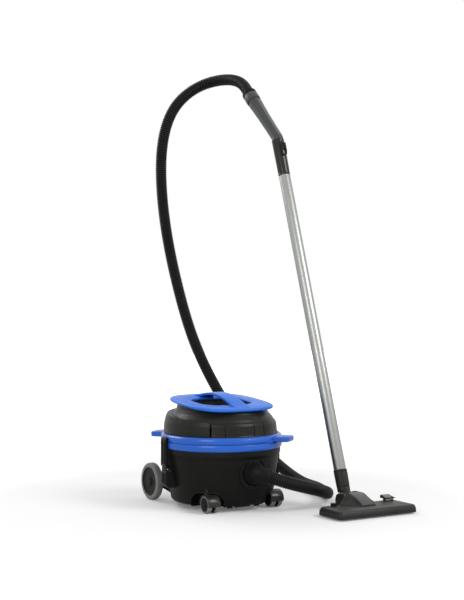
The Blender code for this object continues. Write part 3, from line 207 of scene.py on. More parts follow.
# each row has a colour, the group's values in the order of its labels, and the value of one shader socket
finishes = [
    {"group": mouldedGroup(), "socket": "Specular IOR Level",
     "labels": ("Roughness", "Smudge", "Grain Size", "Grain Depth", "Mottle", "Edge Wear", "Dust"),
     "rows": {
         "ringBlue": ((0.014, 0.108, 0.52), 0.22, 0.05, 500.0, 0.04, 0.05, 0.25, 0.01, 0.34),
         "plateBlue": ((0.018, 0.15, 0.66), 0.36, 0.06, 1200.0, 0.1, 0.05, 0.25, 0.01, 0.24),
         "tubBlack": ((0.0062, 0.0062, 0.0056), 0.44, 0.06, 1100.0, 0.12, 0.2, 0.3, 0.01, 0.1),
         "headBlack": ((0.013, 0.0134, 0.0108), 0.36, 0.06, 1100.0, 0.12, 0.15, 0.3, 0.02, 0.17),
         "glossBlack": ((0.011, 0.0114, 0.0096), 0.17, 0.05, 700.0, 0.03, 0.1, 0.3, 0.01, 0.32),
         "hoodGrey": ((0.017, 0.0176, 0.0145), 0.2, 0.05, 700.0, 0.03, 0.1, 0.3, 0.01, 0.3),
         "partBlack": ((0.0058, 0.0058, 0.0054), 0.4, 0.06, 1300.0, 0.12, 0.15, 0.3, 0.01, 0.09),
         "hoseBlack": ((0.0056, 0.0056, 0.0052), 0.32, 0.07, 600.0, 0.1, 0.15, 0.3, 0.01, 0.12),
         "handleGrey": ((0.056, 0.058, 0.059), 0.3, 0.05, 1500.0, 0.1, 0.08, 0.3, 0.01, 0.25),
         "shoeGrey": ((0.0165, 0.017, 0.015), 0.42, 0.06, 1500.0, 0.16, 0.1, 0.45, 0.04, 0.2),
         "crescentGrey": ((0.056, 0.058, 0.056), 0.32, 0.05, 1500.0, 0.1, 0.06, 0.3, 0.02, 0.3),
         "pedalGrey": ((0.245, 0.27, 0.235), 0.4, 0.05, 1400.0, 0.14, 0.06, 0.2, 0.02, 0.3),
         "tyreGrey": ((0.165, 0.175, 0.16), 0.62, 0.08, 700.0, 0.3, 0.15, 0.2, 0.06, 0.3),
         "softRubber": ((0.011, 0.011, 0.011), 0.6, 0.06, 800.0, 0.25, 0.2, 0.2, 0.05, 0.3),
     }},
    {"group": drawnMetalGroup(), "socket": "Metallic",
     "labels": ("Roughness", "Streak Depth", "Streak Size", "Along", "Tarnish"),
     "rows": {
         "wandMetal": ((0.33, 0.34, 0.325), 0.34, 0.2, 900.0, (0.0, 0.0, 1.0), 0.1, 1.0),
         "screwSteel": ((0.085, 0.085, 0.08), 0.4, 0.1, 800.0, (1.0, 0.0, 0.0), 0.25, 1.0),
         "turnedSteel": ((0.56, 0.56, 0.54), 0.28, 0.15, 800.0, (1.0, 0.0, 0.0), 0.25, 1.0),
     }},
    {"group": fibreGroup(), "socket": "Sheen Weight",
     "labels": ("Fibre Size", "Fibre Depth", "Soiling"),
     "rows": {
         "filterFelt": ((0.52, 0.51, 0.46), 700.0, 0.6, 0.35, 0.2),
         "bagPaper": ((0.44, 0.35, 0.24), 260.0, 0.3, 0.3, 0.0),
         "bristleBlack": ((0.02, 0.02, 0.02), 900.0, 0.4, 0.2, 0.0),
     }},
]
materials = {}


def makeMaterials(group, socket, labels, rows):
    for name, (colour, *values, last) in rows.items():
        material = materials[name] = bpy.data.materials.new(name)
        material.use_nodes = True
        tree = material.node_tree
        shader = tree.nodes["Principled BSDF"]
        surface = node(tree, "Group", node_tree=group)
        surface.inputs["Colour"].default_value = (*colour, 1)
        for label, value in zip(labels, values):
            surface.inputs[label].default_value = value
        for label, target in (("Colour", "Base Color"), ("Roughness", "Roughness"), ("Normal", "Normal")):
            tree.links.new(surface.outputs[label], shader.inputs[target])
        shader.inputs[socket].default_value = last


for family in finishes:
    makeMaterials(**family)
print("materials made:", len(materials))


# mesh helpers
def at(x, y, z):
    return machineMiddle + Vector((x, y, z))


def polar(radius, degrees, z=0.0):
    angle = math.radians(degrees)
    return Vector((radius * math.cos(angle), radius * math.sin(angle), z))


def rounded(corners, steps=4):
    # a closed outline of (x, y, corner radius), each corner drawn as a short curve
    points = []
    count = len(corners)
    for i in range(count):
        x, y, radius = corners[i]
        corner = Vector((x, y))
        before = Vector(corners[i - 1][:2]) - corner
        after = Vector(corners[(i + 1) % count][:2]) - corner
        if radius <= 0 or before.length < 1e-9 or after.length < 1e-9:
            points.append((x, y))
            continue
        angle = before.angle(after)
        if angle > math.pi - 0.02:
            points.append((x, y))
            continue
        reach = min(radius / math.tan(angle / 2), before.length * 0.49, after.length * 0.49)
        start = corner + before.normalized() * reach
        end = corner + after.normalized() * reach
        for step in range(steps + 1):
            t = step / steps
            spot = start * (1 - t) ** 2 + corner * 2 * t * (1 - t) + end * t * t
            points.append((spot.x, spot.y))
    return points


def turnedMesh(profile, steps=128, start=0.0, sweep=360.0):
    mesh = bmesh.new()
    points = [mesh.verts.new((max(r, 0.0), 0, z)) for r, z in profile]
    edges = []
    for first, second in zip(points, points[1:] + points[:1]):
        if first.co.x > 1e-7 or second.co.x > 1e-7:
            edges.append(mesh.edges.new((first, second)))
    bmesh.ops.rotate(mesh, verts=mesh.verts, cent=(0, 0, 0), matrix=Matrix.Rotation(math.radians(start), 3, "Z"))
    whole = sweep >= 360.0
    bmesh.ops.spin(mesh, geom=points + edges, cent=(0, 0, 0), axis=(0, 0, 1), angle=math.radians(sweep), steps=steps,
            use_merge=whole)
    bmesh.ops.remove_doubles(mesh, verts=mesh.verts, dist=1e-6)
    if not whole:
        bmesh.ops.holes_fill(mesh, edges=[edge for edge in mesh.edges if edge.is_boundary])
    return mesh


def skinOver(mesh, levels, closed=False):
    loops = [[mesh.verts.new(point) for point in level] for level in levels]
    for lower, upper in zip(loops, loops[1:] + loops[:closed]):
        for i in range(len(lower)):
            j = (i + 1) % len(lower)
            mesh.faces.new((lower[i], lower[j], upper[j], upper[i]))
    return loops[0], loops[-1]


def spunMesh(profile, corner, *rest):
    return turnedMesh(rounded(profile, corner), *rest)


def loftedMesh(levels, closed=False):
    # closed joins the last level to the first, as round a window's frame
    mesh = bmesh.new()
    first, last = skinOver(mesh, levels, closed)
    if not closed:
        mesh.faces.new(first[::-1])
        mesh.faces.new(last)
    return mesh


def slabLevels(outlineAt, levels):
    # the outline drawn in by each level's inset, at its height
    return loftedMesh([[(x, y, z) for x, y in outlineAt(inset)] for inset, z in levels])


def drawnOut(outline, low, high, axis="Z"):
    def spot(a, b, h):
        return {"Z": (a, b, h), "X": (h, a, b), "Y": (a, h, b)}[axis]

    return loftedMesh([[spot(a, b, low) for a, b in outline], [spot(a, b, high) for a, b in outline]])


def upright(half, low, high, steps):
    # a rectangle about the middle line; low and high are (height, corner)
    (bottom, wide), (top, narrow) = low, high
    return rounded([(half, bottom, wide), (half, top, narrow), (-half, top, narrow), (-half, bottom, wide)], steps)


def acrossY(outline, low, high):
    return drawnOut(outline, low, high, "Y")


def acrossX(outline, low, high):
    return drawnOut(outline, low, high, "X")


def blockMesh(low, high):
    outline = [(low[0], low[1]), (high[0], low[1]), (high[0], high[1]), (low[0], high[1])]
    return drawnOut(outline, low[2], high[2])


def rodMesh(radius, low, high, steps=48, bore=0.0, edge=0.0):
    profile = [(radius, low, edge), (radius, high, edge), (bore, high, edge if bore else 0),
            (bore, low, edge if bore else 0)]
    return spunMesh(profile, 3, steps)


def framesAlong(path):
    tangents = [(path[min(i + 1, len(path) - 1)] - path[max(i - 1, 0)]).normalized() for i in range(len(path))]
    side = tangents[0].orthogonal().normalized()
    pairs = []
    for tangent in tangents:
        side = (side - tangent * side.dot(tangent)).normalized()
        pairs.append((side, tangent.cross(side)))
    return pairs


def tubeMesh(path, radii, sides, boreRadii, shape=None):
    # an open tube along a path; shape(angle, i) may swell its outer section
    mesh = bmesh.new()
    skins = []
    for widths in (radii, boreRadii):
        levels = []
        for i, (spot, (side, other), radius) in enumerate(zip(path, framesAlong(path), widths)):
            level = []
            for k in range(sides):
                angle = 2 * math.pi * k / sides
                reach = radius * (shape(angle, i) if shape and widths is radii else 1.0)
                level.append(spot + reach * (side * math.cos(angle) + other * math.sin(angle)))
            levels.append(level)
        skins.append(skinOver(mesh, levels))
    for outer, inner in zip(*skins):
        for k in range(sides):
            m = (k + 1) % sides
            mesh.faces.new((outer[k], outer[m], inner[m], inner[k]))
    return mesh


def widthAt(widths, along):
    # the width at a distance along a path, between the two nearest of (distance, width)
    for (first, small), (second, large) in zip(widths, widths[1:]):
        if first <= along <= second:
            return small + (large - small) * (along - first) / (second - first)


def makePiece(name, mesh, material, place=(0, 0, 0), turn=(0, 0, 0), bevel=0.0, sharp=32, bevelSteps=3):
    bmesh.ops.recalc_face_normals(mesh, faces=mesh.faces)
    data = bpy.data.meshes.new(name)
    mesh.to_mesh(data)
    mesh.free()
    data.shade_smooth()
    data.set_sharp_from_angle(angle=math.radians(sharp))
    piece = bpy.data.objects.new(name, data)
    bpy.context.scene.collection.objects.link(piece)
    piece.location = at(*place)
    piece.rotation_euler = turn
    if material:
        data.materials.append(materials[material])
    if bevel:
        soften(piece, bevel, sharp, bevelSteps)
    return piece


def cutter(mesh, place=(0, 0, 0), turn=(0, 0, 0), bevel=0.0, sharp=32):
    # a shape without a finish, to cut from or join to a piece
    return makePiece("cutter", mesh, None, place, turn, bevel, sharp)


def turned(x=0, y=0, z=0):
    return (math.radians(x), math.radians(y), math.radians(z))


def applyModifiers(piece, sharp=32):
    bpy.context.view_layer.update()
    graph = bpy.context.evaluated_depsgraph_get()
    made = bpy.data.meshes.new_from_object(piece.evaluated_get(graph))
    piece.modifiers.clear()
    piece.data = made
    made.shade_smooth()
    made.set_sharp_from_angle(angle=math.radians(sharp))


def soften(piece, width, sharp=32, steps=3):
    bevel = piece.modifiers.new("soft edges", "BEVEL")
    bevel.width = width
    bevel.segments = steps
    bevel.limit_method = "ANGLE"
    bevel.angle_limit = math.radians(sharp)
    bevel.use_clamp_overlap = True
    applyModifiers(piece, 40)


def shapeWith(piece, operation, others, sharp=32):
    for other in others:
        boolean = piece.modifiers.new(operation.lower(), "BOOLEAN")
        boolean.operation = operation
        boolean.solver = "EXACT"
        boolean.object = other
    applyModifiers(piece, sharp)
    for other in others:
        bpy.data.objects.remove(other, do_unlink=True)
    return piece


def cut(piece, others, sharp=32):
    return shapeWith(piece, "DIFFERENCE", others, sharp)


def join(piece, others, sharp=32):
    return shapeWith(piece, "UNION", others, sharp)


def keepWithin(piece, others, sharp=32):
    return shapeWith(piece, "INTERSECT", others, sharp)


def fit(piece, slot, *nodes, body="machine_body"):
    # the turn goes into the mesh, all but the wand's, whose metal is drawn along its own length
    if piece.name != "wandTube":
        piece.data.transform(piece.rotation_euler.to_matrix().to_4x4())
        piece.rotation_euler = (0, 0, 0)
    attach(piece, body)
    if nodes:
        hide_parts(*nodes)


def makeScrew(name, radius, proud, edge, spot, turn):
    profile = [(0, -0.002, 0), (radius, -0.002, 0), (radius, proud, edge), (0, proud + 0.0002, 0)]
    return makePiece(name, spunMesh(profile, 3, 32), "screwSteel", spot, turn)


def uprightAlong(direction):
    return Vector(direction).to_track_quat("Z", "Y").to_euler()


# the play between pieces that lie against each other
clearance = 0.0003

# the hose: its route is the same as the solid's, its ribs are finer
inlet = {"x": 0.012, "z": 0.112, "faceY": -0.1705, "turn": 65, "drop": 20, "bend": 0.03}
wand = {"x": 0.262, "radius": 0.018, "foot": (-0.237, 0.111), "lean": 18.4, "seen": 0.929, "hidden": 0.047}
handle = {"sleeve": 0.122, "sleeveRadius": 0.0195, "lean": 46.0, "length": 0.185, "bend": 0.022,
        "cuffRadius": 0.024, "cuffLength": 0.045, "facetTurn": 30.0}
hose = {"radius": 0.0185, "groove": 0.0164, "bore": 0.015, "ribPitch": 0.0068, "sides": 28,
        "route": [(0.172, -0.238, 0.062), (0.262, -0.172, 0.036), (0.319, -0.08, 0.021), (0.354, 0.015, 0.02),
        (0.372, 0.115, 0.0215), (0.368, 0.21, 0.048), (0.334, 0.292, 0.108), (0.273, 0.352, 0.2), (0.203, 0.391, 0.326),
        (0.151, 0.432, 0.466), (0.111, 0.464, 0.63), (0.081, 0.489, 0.806), (0.064, 0.504, 1.006),
        (0.074, 0.508, 1.145), (0.118, 0.498, 1.26), (0.19, 0.463, 1.326), (0.244, 0.394, 1.342)]}


def leaning(degrees):
    return Vector((0, math.sin(math.radians(degrees)), math.cos(math.radians(degrees))))


wandUp = leaning(wand["lean"])
wandFoot = Vector((wand["x"], *wand["foot"]))
wandHead = wandFoot + wandUp * wand["seen"]
gripUp = leaning(handle["lean"])
sleeveHead = wandHead + wandUp * handle["sleeve"]
bendReach = handle["bend"] * math.tan(math.radians(handle["lean"] - wand["lean"]) / 2)
gripFoot = sleeveHead + wandUp * 0.003 + (wandUp + gripUp) * bendReach
cuffFoot = gripFoot + gripUp * handle["length"]
hoseEnd = cuffFoot + gripUp * handle["cuffLength"]


def elbowLine(steps=6):
    turn = math.radians(inlet["turn"])
    drop = math.radians(inlet["drop"])
    sideways = Vector((math.cos(drop), 0, -math.sin(drop)))
    start = Vector((inlet["x"], inlet["faceY"] - clearance, inlet["z"]))
    outward = Vector((0, -1, 0))
    points = [start, start + outward * 0.0045]
    for step in range(steps + 1):
        angle = turn * step / steps
        along = outward * math.sin(angle) + sideways * (1 - math.cos(angle))
        points.append(start + outward * 0.005 + inlet["bend"] * along)
    leaving = outward * math.cos(turn) + sideways * math.sin(turn)
    points.append(points[-1] + leaving * 0.012)
    return points, leaving


def curveThrough(points, firstWay, lastWay, steps):
    count = len(points)
    spans = [(points[i + 1] - points[i]).length for i in range(count - 1)]
    bends = [Vector() for _ in points]
    for _ in range(400):
        bends[0] = ((points[1] - points[0]) / spans[0] - firstWay) * 3 / spans[0] - bends[1] * 0.5
        for i in range(1, count - 1):
            before, after = spans[i - 1], spans[i]
            change = (points[i + 1] - points[i]) / after - (points[i] - points[i - 1]) / before
            bends[i] = (6 * change - before * bends[i - 1] - after * bends[i + 1]) / (2 * (before + after))
        bends[-1] = (lastWay - (points[-1] - points[-2]) / spans[-1]) * 3 / spans[-1] - bends[-2] * 0.5
    curve = []
    for i, span in enumerate(spans):
        for step in range(steps):
            x = span * step / steps
            rest = span - x
            bend = (bends[i] * rest ** 3 + bends[i + 1] * x ** 3) / (6 * span)
            line = (points[i] / span - bends[i] * span / 6) * rest
            curve.append(bend + line + (points[i + 1] / span - bends[i + 1] * span / 6) * x)
    curve.append(points[-1].copy())
    return curve


def evenlyAlong(curve, count):
    marks = [0.0]
    for before, after in zip(curve, curve[1:]):
        marks.append(marks[-1] + (after - before).length)
    points = []
    place = 0
    for i in range(count + 1):
        want = marks[-1] * i / count
        while place < len(marks) - 2 and marks[place + 1] < want:
            place += 1
        share = (want - marks[place]) / (marks[place + 1] - marks[place])
        points.append(curve[place].lerp(curve[place + 1], share))
    return points, marks[-1]


def makeHose():
    elbow, leaving = elbowLine()
    start = elbow[-1] + leaving * clearance
    straight = 2 * hose["radius"]
    points = [start, start + leaving * straight] + [Vector(point) for point in hose["route"]]
    points += [hoseEnd + gripUp * straight, hoseEnd + gripUp * clearance]
    curve = curveThrough(points, leaving, -gripUp, 24)
    _, length = evenlyAlong(curve, 10)
    ribs = round(length / hose["ribPitch"])
    path, length = evenlyAlong(curve, ribs * 4)
    crest, groove = hose["radius"], hose["groove"]
    pattern = (groove, crest - 0.0003, crest, crest - 0.0003)
    radii = [pattern[i % 4] for i in range(len(path))]
    mesh = tubeMesh(path, radii, hose["sides"], [hose["bore"]] * len(path))
    piece = makePiece("ribbedHose", mesh, "hoseBlack", sharp=60)
    fit(piece, "hose_black", "hose")
    print("hose made, length %.3f m" % length)


makeHose()

# the tub and what is moulded with it
tub = {"floor": 0.015, "foot": 0.15, "top": 0.172, "topZ": 0.157, "rim": 0.175, "rimHeight": 0.017, "wall": 0.003,
       "corner": 0.015, "grooveZ": 0.15, "grooveDepth": 0.001}
arch = {"x": 0.107, "y": -0.102, "radius": 0.05, "top": 0.063, "lip": 0.0026, "lipWidth": 0.005}


def archDome(grow=0.0):
    # the wheel arch is a well with a rounded roof, just clear of the caster as it swivels
    radius = arch["radius"]
    return spunMesh([(0, -0.01, 0), (radius + grow, -0.01, 0), (radius + grow, 0.028 + 0.2 * grow, 0.006),
            (0.0485 + 0.92 * grow, 0.036 + 0.4 * grow, 0.006), (0.0408 + 0.78 * grow, 0.0467 + 0.62 * grow, 0.006),
            (0.036 + 0.55 * grow, 0.0512 + 0.83 * grow, 0.006), (0.026 + 0.3 * grow, 0.0547 + grow, 0.008),
            (0, 0.0547 + grow, 0)], 4, 96)


def tubRadius(z):
    return tub["foot"] + (tub["top"] - tub["foot"]) * (z - 0.03) / (tub["topZ"] - 0.03)


def tubProfile(grow=0.0, plain=False):
    floor, corner, topZ = tub["floor"], tub["corner"], tub["topZ"]
    profile = [(0, floor - grow, 0), (tub["foot"] - 0.015, floor - grow, 0.001)]
    for step in range(1, 7):
        angle = math.radians(15 * step)
        profile.append((tub["foot"] - corner + (corner + grow) * math.sin(angle),
                floor + corner - (corner + grow) * math.cos(angle), 0))
    for z in (0.05, 0.062, 0.074, 0.09, 0.106, 0.122, 0.138):
        profile.append((tubRadius(z) + grow, z, 0))
    if not plain:
        grooveZ, deep = tub["grooveZ"], tub["grooveDepth"]
        profile.append((tubRadius(grooveZ - 0.0012) + grow, grooveZ - 0.0012, 0.0005))
        profile.append((tubRadius(grooveZ - 0.0012) - deep + grow, grooveZ - 0.0006, 0.0004))
        profile.append((tubRadius(grooveZ) - deep + grow, grooveZ + 0.0008, 0.0004))
        profile.append((tubRadius(grooveZ + 0.0012) + grow, grooveZ + 0.0014, 0.0005))
    profile.append((tub["top"] + grow, topZ - grow, 0.001))
    profile.append((tub["rim"] + grow, topZ + 0.002 - grow, 0.0012))
    profile.append((tub["rim"] + grow, topZ + tub["rimHeight"] + grow, 0.001))
    profile.append((0, topZ + tub["rimHeight"] + grow, 0))
    return rounded(profile, 2)


# a turned piece lies along X or Y, outwards for the side it is on
alongX = turned(y=90)
alongY = turned(x=90)


def skinOfTub(grow=clearance):
    return cutter(turnedMesh(tubProfile(grow, True), 160))


def makeTub():
    piece = makePiece("tubShell", turnedMesh(tubProfile(), 160), "tubBlack", sharp=25)
    wall = tub["wall"]
    inside = [(0, tub["floor"] + wall), (tub["foot"] - 0.017, tub["floor"] + wall),
            (tub["foot"] - wall - 0.002, tub["floor"] + 0.009), (tub["foot"] - wall, tub["floor"] + 0.016),
            (tub["top"] - wall, tub["topZ"]), (tub["top"] - wall, tub["topZ"] + 0.03), (0, tub["topZ"] + 0.03)]
    hollow = cutter(turnedMesh(inside, 160))
    walls = []
    lips = []
    arches = []
    for side in (-1, 1):
        spot = (side * arch["x"], arch["y"], 0)
        walls.append(cutter(rodMesh(arch["radius"] + wall, 0, arch["top"] + wall, 96), spot))
        arches.append(cutter(archDome(), spot))
        lip = skinOfTub(arch["lip"])
        ring = cutter(archDome(arch["lipWidth"]), spot)
        keepWithin(lip, [ring])
        lips.append(lip)
    cut(hollow, walls)
    # a low ring round the inlet, standing out of the tub's slope
    boss = cutter(rodMesh(0.047, 0.12, 0.1765, 96, 0, 0.002), (inlet["x"], 0, inlet["z"]), alongY)
    keepWithin(boss, [skinOfTub(0.0036)])
    cut(boss, [cutter(rodMesh(0.0385, 0.1, 0.2, 96), (inlet["x"], 0, inlet["z"]), alongY)])
    below = cutter(blockMesh((-0.1, -0.3, 0.03), (0.14, 0, 0.1465)))
    keepWithin(boss, [below])
    join(piece, lips + [boss])
    hole = cutter(rodMesh(0.0198, 0.14, 0.19, 48), (inlet["x"], 0, inlet["z"]), alongY)
    sockets = [cutter(turnedMesh([(0, 0.0453), (0.0092, 0.0453), (0.0092, 0.0629), (0.0059, 0.0629), (0.0059, 0.0763),
            (0, 0.0763)], 44), (side * arch["x"], arch["y"], 0)) for side in (-1, 1)]
    cut(piece, [hollow, *arches, hole], 25)
    cut(piece, sockets, 25)
    # feet under the tub
    for k, (x, y, wide, deep) in enumerate([(0.0, -0.118, 0.05, 0.008), (0.045, -0.124, 0.016, 0.008),
            (-0.045, -0.124, 0.016, 0.008), (0.0, 0.12, 0.06, 0.008)]):
        foot = makePiece("tubFoot%d" % k, blockMesh((-wide / 2, -deep / 2, 0), (wide / 2, deep / 2, 0.0062)),
                "tubBlack", (x, y, tub["floor"] - 0.0058), bevel=0.0012)
        fit(foot, "black_shell")
    fit(piece, "black_shell", "tub")
    print("tub made")


# the blue rings with their two beads and the lugs
rings = {"low": 0.1743, "mid": 0.1943, "top": 0.2146, "radius": 0.18, "hooks": (176, -4)}
lug = {"angles": (127, -53), "tip": 0.22, "width": 0.07, "thick": 0.0155, "radius": 0.019, "edge": 0.0034}


def softSlab(outlineAt, low, high, edge, steps=3):
    # a slab whose outline draws in round its top and bottom edges
    levels = []
    for step in range(steps + 1):
        angle = math.pi / 2 * step / steps
        levels.append((edge * (1 - math.sin(angle)), low + edge * (1 - math.cos(angle))))
    for step in range(steps + 1):
        angle = math.pi / 2 * step / steps
        levels.append((edge * (1 - math.cos(angle)), high - edge * (1 - math.sin(angle))))
    return slabLevels(outlineAt, levels)


def makeRings():
    crest, low, mid, top = rings["radius"], rings["low"], rings["mid"], rings["top"]
    lower = [(0.162, low, 0), (crest - 0.0036, low, 0.001), (crest - 0.0012, low + 0.0022, 0.002),
            (crest, low + 0.0065, 0.004), (crest - 0.0002, mid - 0.006, 0.004), (crest - 0.0016, mid - 0.0014, 0.0014),
            (crest - 0.0032, mid, 0.0008), (0.1696, mid, 0), (0.1696, 0.1904, 0), (0.162, 0.1904, 0)]
    piece = makePiece("tubRing", spunMesh(lower, 5, 192), "ringBlue", sharp=50)
    fit(piece, "blue_plastic", "tub_ring")
    upper = [(0.1682, mid + 0.0003, 0), (crest - 0.0032, mid + 0.0003, 0.0008), (crest - 0.0016, mid + 0.0017, 0.0014),
            (crest - 0.0002, mid + 0.0064, 0.004), (crest, top - 0.0095, 0.004), (crest - 0.0014, top - 0.0048, 0.003),
            (crest - 0.0052, top - 0.001, 0.002), (crest - 0.0085, top, 0.0006), (0.169, top, 0),
            (0.1682, top - 0.0008, 0)]
    piece = makePiece("headRing", spunMesh(upper, 5, 192), "ringBlue", sharp=50)
    rooms = [cutter(blockMesh((crest - 0.0055, -0.0175, 0.204), (crest + 0.02, 0.0175, 0.2082)), turn=turned(z=angle))
            for angle in rings["hooks"]]
    cut(piece, rooms, 50)
    tabs = []
    for angle in lug["angles"]:
        def outline(inset):
            
            inner, outer = 0.174 + inset, lug["tip"] - inset
            half, radius = lug["width"] / 2 - inset, lug["radius"] - inset
            corners = [(inner, -half, 0.004), (outer, -half, radius), (outer, half, radius), (inner, half, 0.004)]
            return rounded(corners, 8)

        base = rings["mid"] + 0.0013
        slab = softSlab(outline, base, base + lug["thick"], lug["edge"], 4)
        tabs.append(makePiece("lug", slab, "ringBlue", turn=turned(z=angle)))
    join(piece, tabs, 40)
    fit(piece, "blue_plastic", "head_ring")
    for k, angle in enumerate(lug["angles"]):
        def recess(inset):
            return rounded([(0.1855 + inset, -0.021 + inset, 0.006), (0.213 - inset, -0.021 + inset, 0.009),
                    (0.213 - inset, 0.021 - inset, 0.009), (0.1855 + inset, 0.021 - inset, 0.006)], 5)

        top = rings["mid"] + 0.0013 + lug["thick"]
        pad = makePiece("lugPad%d" % k, softSlab(recess, top - 0.0008, top + 0.0007, 0.0006, 2), "ringBlue",
                turn=turned(z=angle))
        fit(pad, "blue_plastic")
    print("rings made")


# the motor head
head = {"seams": (243.3, 274.7, 287.8, 312.0, 336.0, 0.0, 24.0, 44.0), "fineLines": (252.1, 258.8),
        "panelStart": 101.25, "panelEnd": 228.2, "panelTop": 0.267}
plate = {"halfX": 0.136, "halfY": 0.145, "power": 3.0, "thick": 0.009, "top": 0.3065, "tilt": 5.0, "openX": 0.085,
        "openY": 0.071, "edge": 0.0034}
grip = {"half": 0.025, "rise": 0.0235, "thick": 0.009}
plateTurn = turned(x=plate["tilt"])


def headProfile():
    return [(0.1675, 0.1993, 0.0), (0.1675, 0.216, 0.0012), (0.166, 0.2185, 0.001), (0.1645, 0.23, 0.003),
            (0.163, 0.245, 0.004), (0.16, 0.2522, 0.0022), (0.157, 0.2528, 0.0004), (0.157, 0.2545, 0.0004),
            (0.1558, 0.2558, 0.0008), (0.152, 0.262, 0.004), (0.14, 0.2755, 0.005), (0.134, 0.285, 0.006),
            (0.13, 0.298, 0.004), (0.13, 0.326, 0.0)]


def makeHeadCover():
    outer = headProfile()
    inner = [(0.088, 0.326, 0), (0.08, 0.2645, 0.004), (0.077, 0.262, 0.002), (0, 0.262, 0), (0, 0.259, 0),
            (0.082, 0.259, 0), (0.0915, 0.279, 0), (0.126, 0.279, 0), (0.1365, 0.273, 0), (0.154, 0.2515, 0),
            (0.16, 0.244, 0), (0.1645, 0.2146, 0), (0.1645, 0.1993, 0)]
    piece = makePiece("headCover", spunMesh(outer + inner, 4, 192), "headBlack", sharp=25)
    above = cutter(blockMesh((-0.2, -0.2, 0), (0.2, 0.2, 0.1)), (0, 0, plate["top"] - plate["thick"] - clearance),
            plateTurn)
    cutters = [above]
    # panel seams down the side wall, a few fine lines low on it, and the groove at the side panel's front end
    for angle in head["seams"]:
        cutters.append(cutter(blockMesh((0.159, -0.0012, 0.2165), (0.175, 0.0012, 0.2535)), turn=turned(z=angle)))
    first, last = head["fineLines"]
    for k in range(6):
        line = blockMesh((0.1644, -0.0004, 0.217), (0.175, 0.0004, 0.232))
        cutters.append(cutter(line, turn=turned(z=first + (last - first) * k / 5)))
    groove = blockMesh((0.159, -0.0024, 0.216), (0.175, 0.0024, 0.256))
    cutters.append(cutter(groove, turn=turned(z=head["panelEnd"] + 0.8)))
    for angle, radius in ((60, 0.0113), (82, 0.0083)):
        cutters.append(cutter(rodMesh(radius, 0.14, 0.18, 40), (0, 0, 0.232), turned(y=90, z=angle)))
    cut(piece, cutters, 25)
    fit(piece, "head_plastic", "head_cover")

    outline = [(0.1682, 0.2162, 0), (0.1708, 0.2162, 0.001), (0.171, 0.226, 0.004), (0.1695, 0.245, 0.01),
            (0.165, 0.265, 0.01), (0.16, 0.2746, 0.006), (0.155, 0.286, 0), (0.1344, 0.286, 0), (0.1409, 0.2755, 0),
            (0.1527, 0.2625, 0), (0.1582, 0.2546, 0), (0.1612, 0.2526, 0), (0.1644, 0.245, 0)]
    panel = makePiece("sidePanel", spunMesh(outline, 4, 110, head["panelStart"], head["panelEnd"] - head["panelStart"]),
            "headBlack", sharp=30)
    over = cutter(blockMesh((-0.25, -0.25, 0), (0.25, 0.25, 0.1)), (0, 0, head["panelTop"]), plateTurn)
    cut(panel, [over], 30)
    soften(panel, 0.0016, 40, 3)
    fit(panel, "gloss_black", "side_panel")
    for k, angle in enumerate((116, 194)):
        spot, turn = polar(0.1668, angle, 0.2564), turned(y=77, z=angle)
        made = makeScrew("panelScrew%d" % k, 0.003, 0.0005, 0.0006, spot, turn)
        slot = blockMesh((-0.0026, -0.0004, 0.0002), (0.0026, 0.0004, 0.003))
        cut(made, [cutter(slot, spot, turn)])
        fit(made, "steel")
    print("motor head made")


def plateOutline(halfX, halfY, power, count=144):
    points = []
    for i in range(count):
        angle = 2 * math.pi * i / count
        cosine, sine = math.cos(angle), math.sin(angle)
        points.append((halfX * math.copysign(abs(cosine) ** (2 / power), cosine),
                halfY * math.copysign(abs(sine) ** (2 / power), sine)))
    return points


def makeTopPlate():
    thick, edge = plate["thick"], plate["edge"]
    levels = []
    for way, halfX, halfY in ((-1, plate["halfX"], plate["halfY"]), (1, plate["openX"], plate["openY"])):
        for step in range(6):
            angle = math.pi * step / 5
            inset = way * edge * (1 - math.sin(angle))
            z = -thick / 2 + way * thick / 2 * math.cos(angle)
            levels.append([(x, y, z) for x, y in plateOutline(halfX + inset, halfY + inset, plate["power"])])
    seat = (0, 0, plate["top"])
    piece = makePiece("topPlate", loftedMesh(levels, True), "plateBlue", seat, plateTurn, sharp=50)
    # the grip bar rises out of the plate's front and rear, widest at its feet
    reach = plate["halfY"] - 0.018
    levels = []
    count = 36
    for i in range(count + 1):
        t = -1 + 2 * i / count
        rise = grip["rise"] * math.cos(t * math.pi / 2) ** 1.2
        half = grip["half"] * (0.93 + 0.1 * abs(t) ** 3)
        upper = rise + 0.0005
        lower = max(rise - grip["thick"], -thick * 0.6)
        radius = min(0.0036, (upper - lower) * 0.45)
        ring = upright(half, (lower, radius), (upper, radius), 4)
        levels.append([(x, reach * t, z) for x, z in ring])
    bar = makePiece("bar", loftedMesh(levels), "plateBlue", seat, plateTurn)
    join(piece, [bar], 50)
    fit(piece, "blue_plastic", "top_plate")
    print("top plate made")


makeTub()
makeRings()
makeHeadCover()
makeTopPlate()


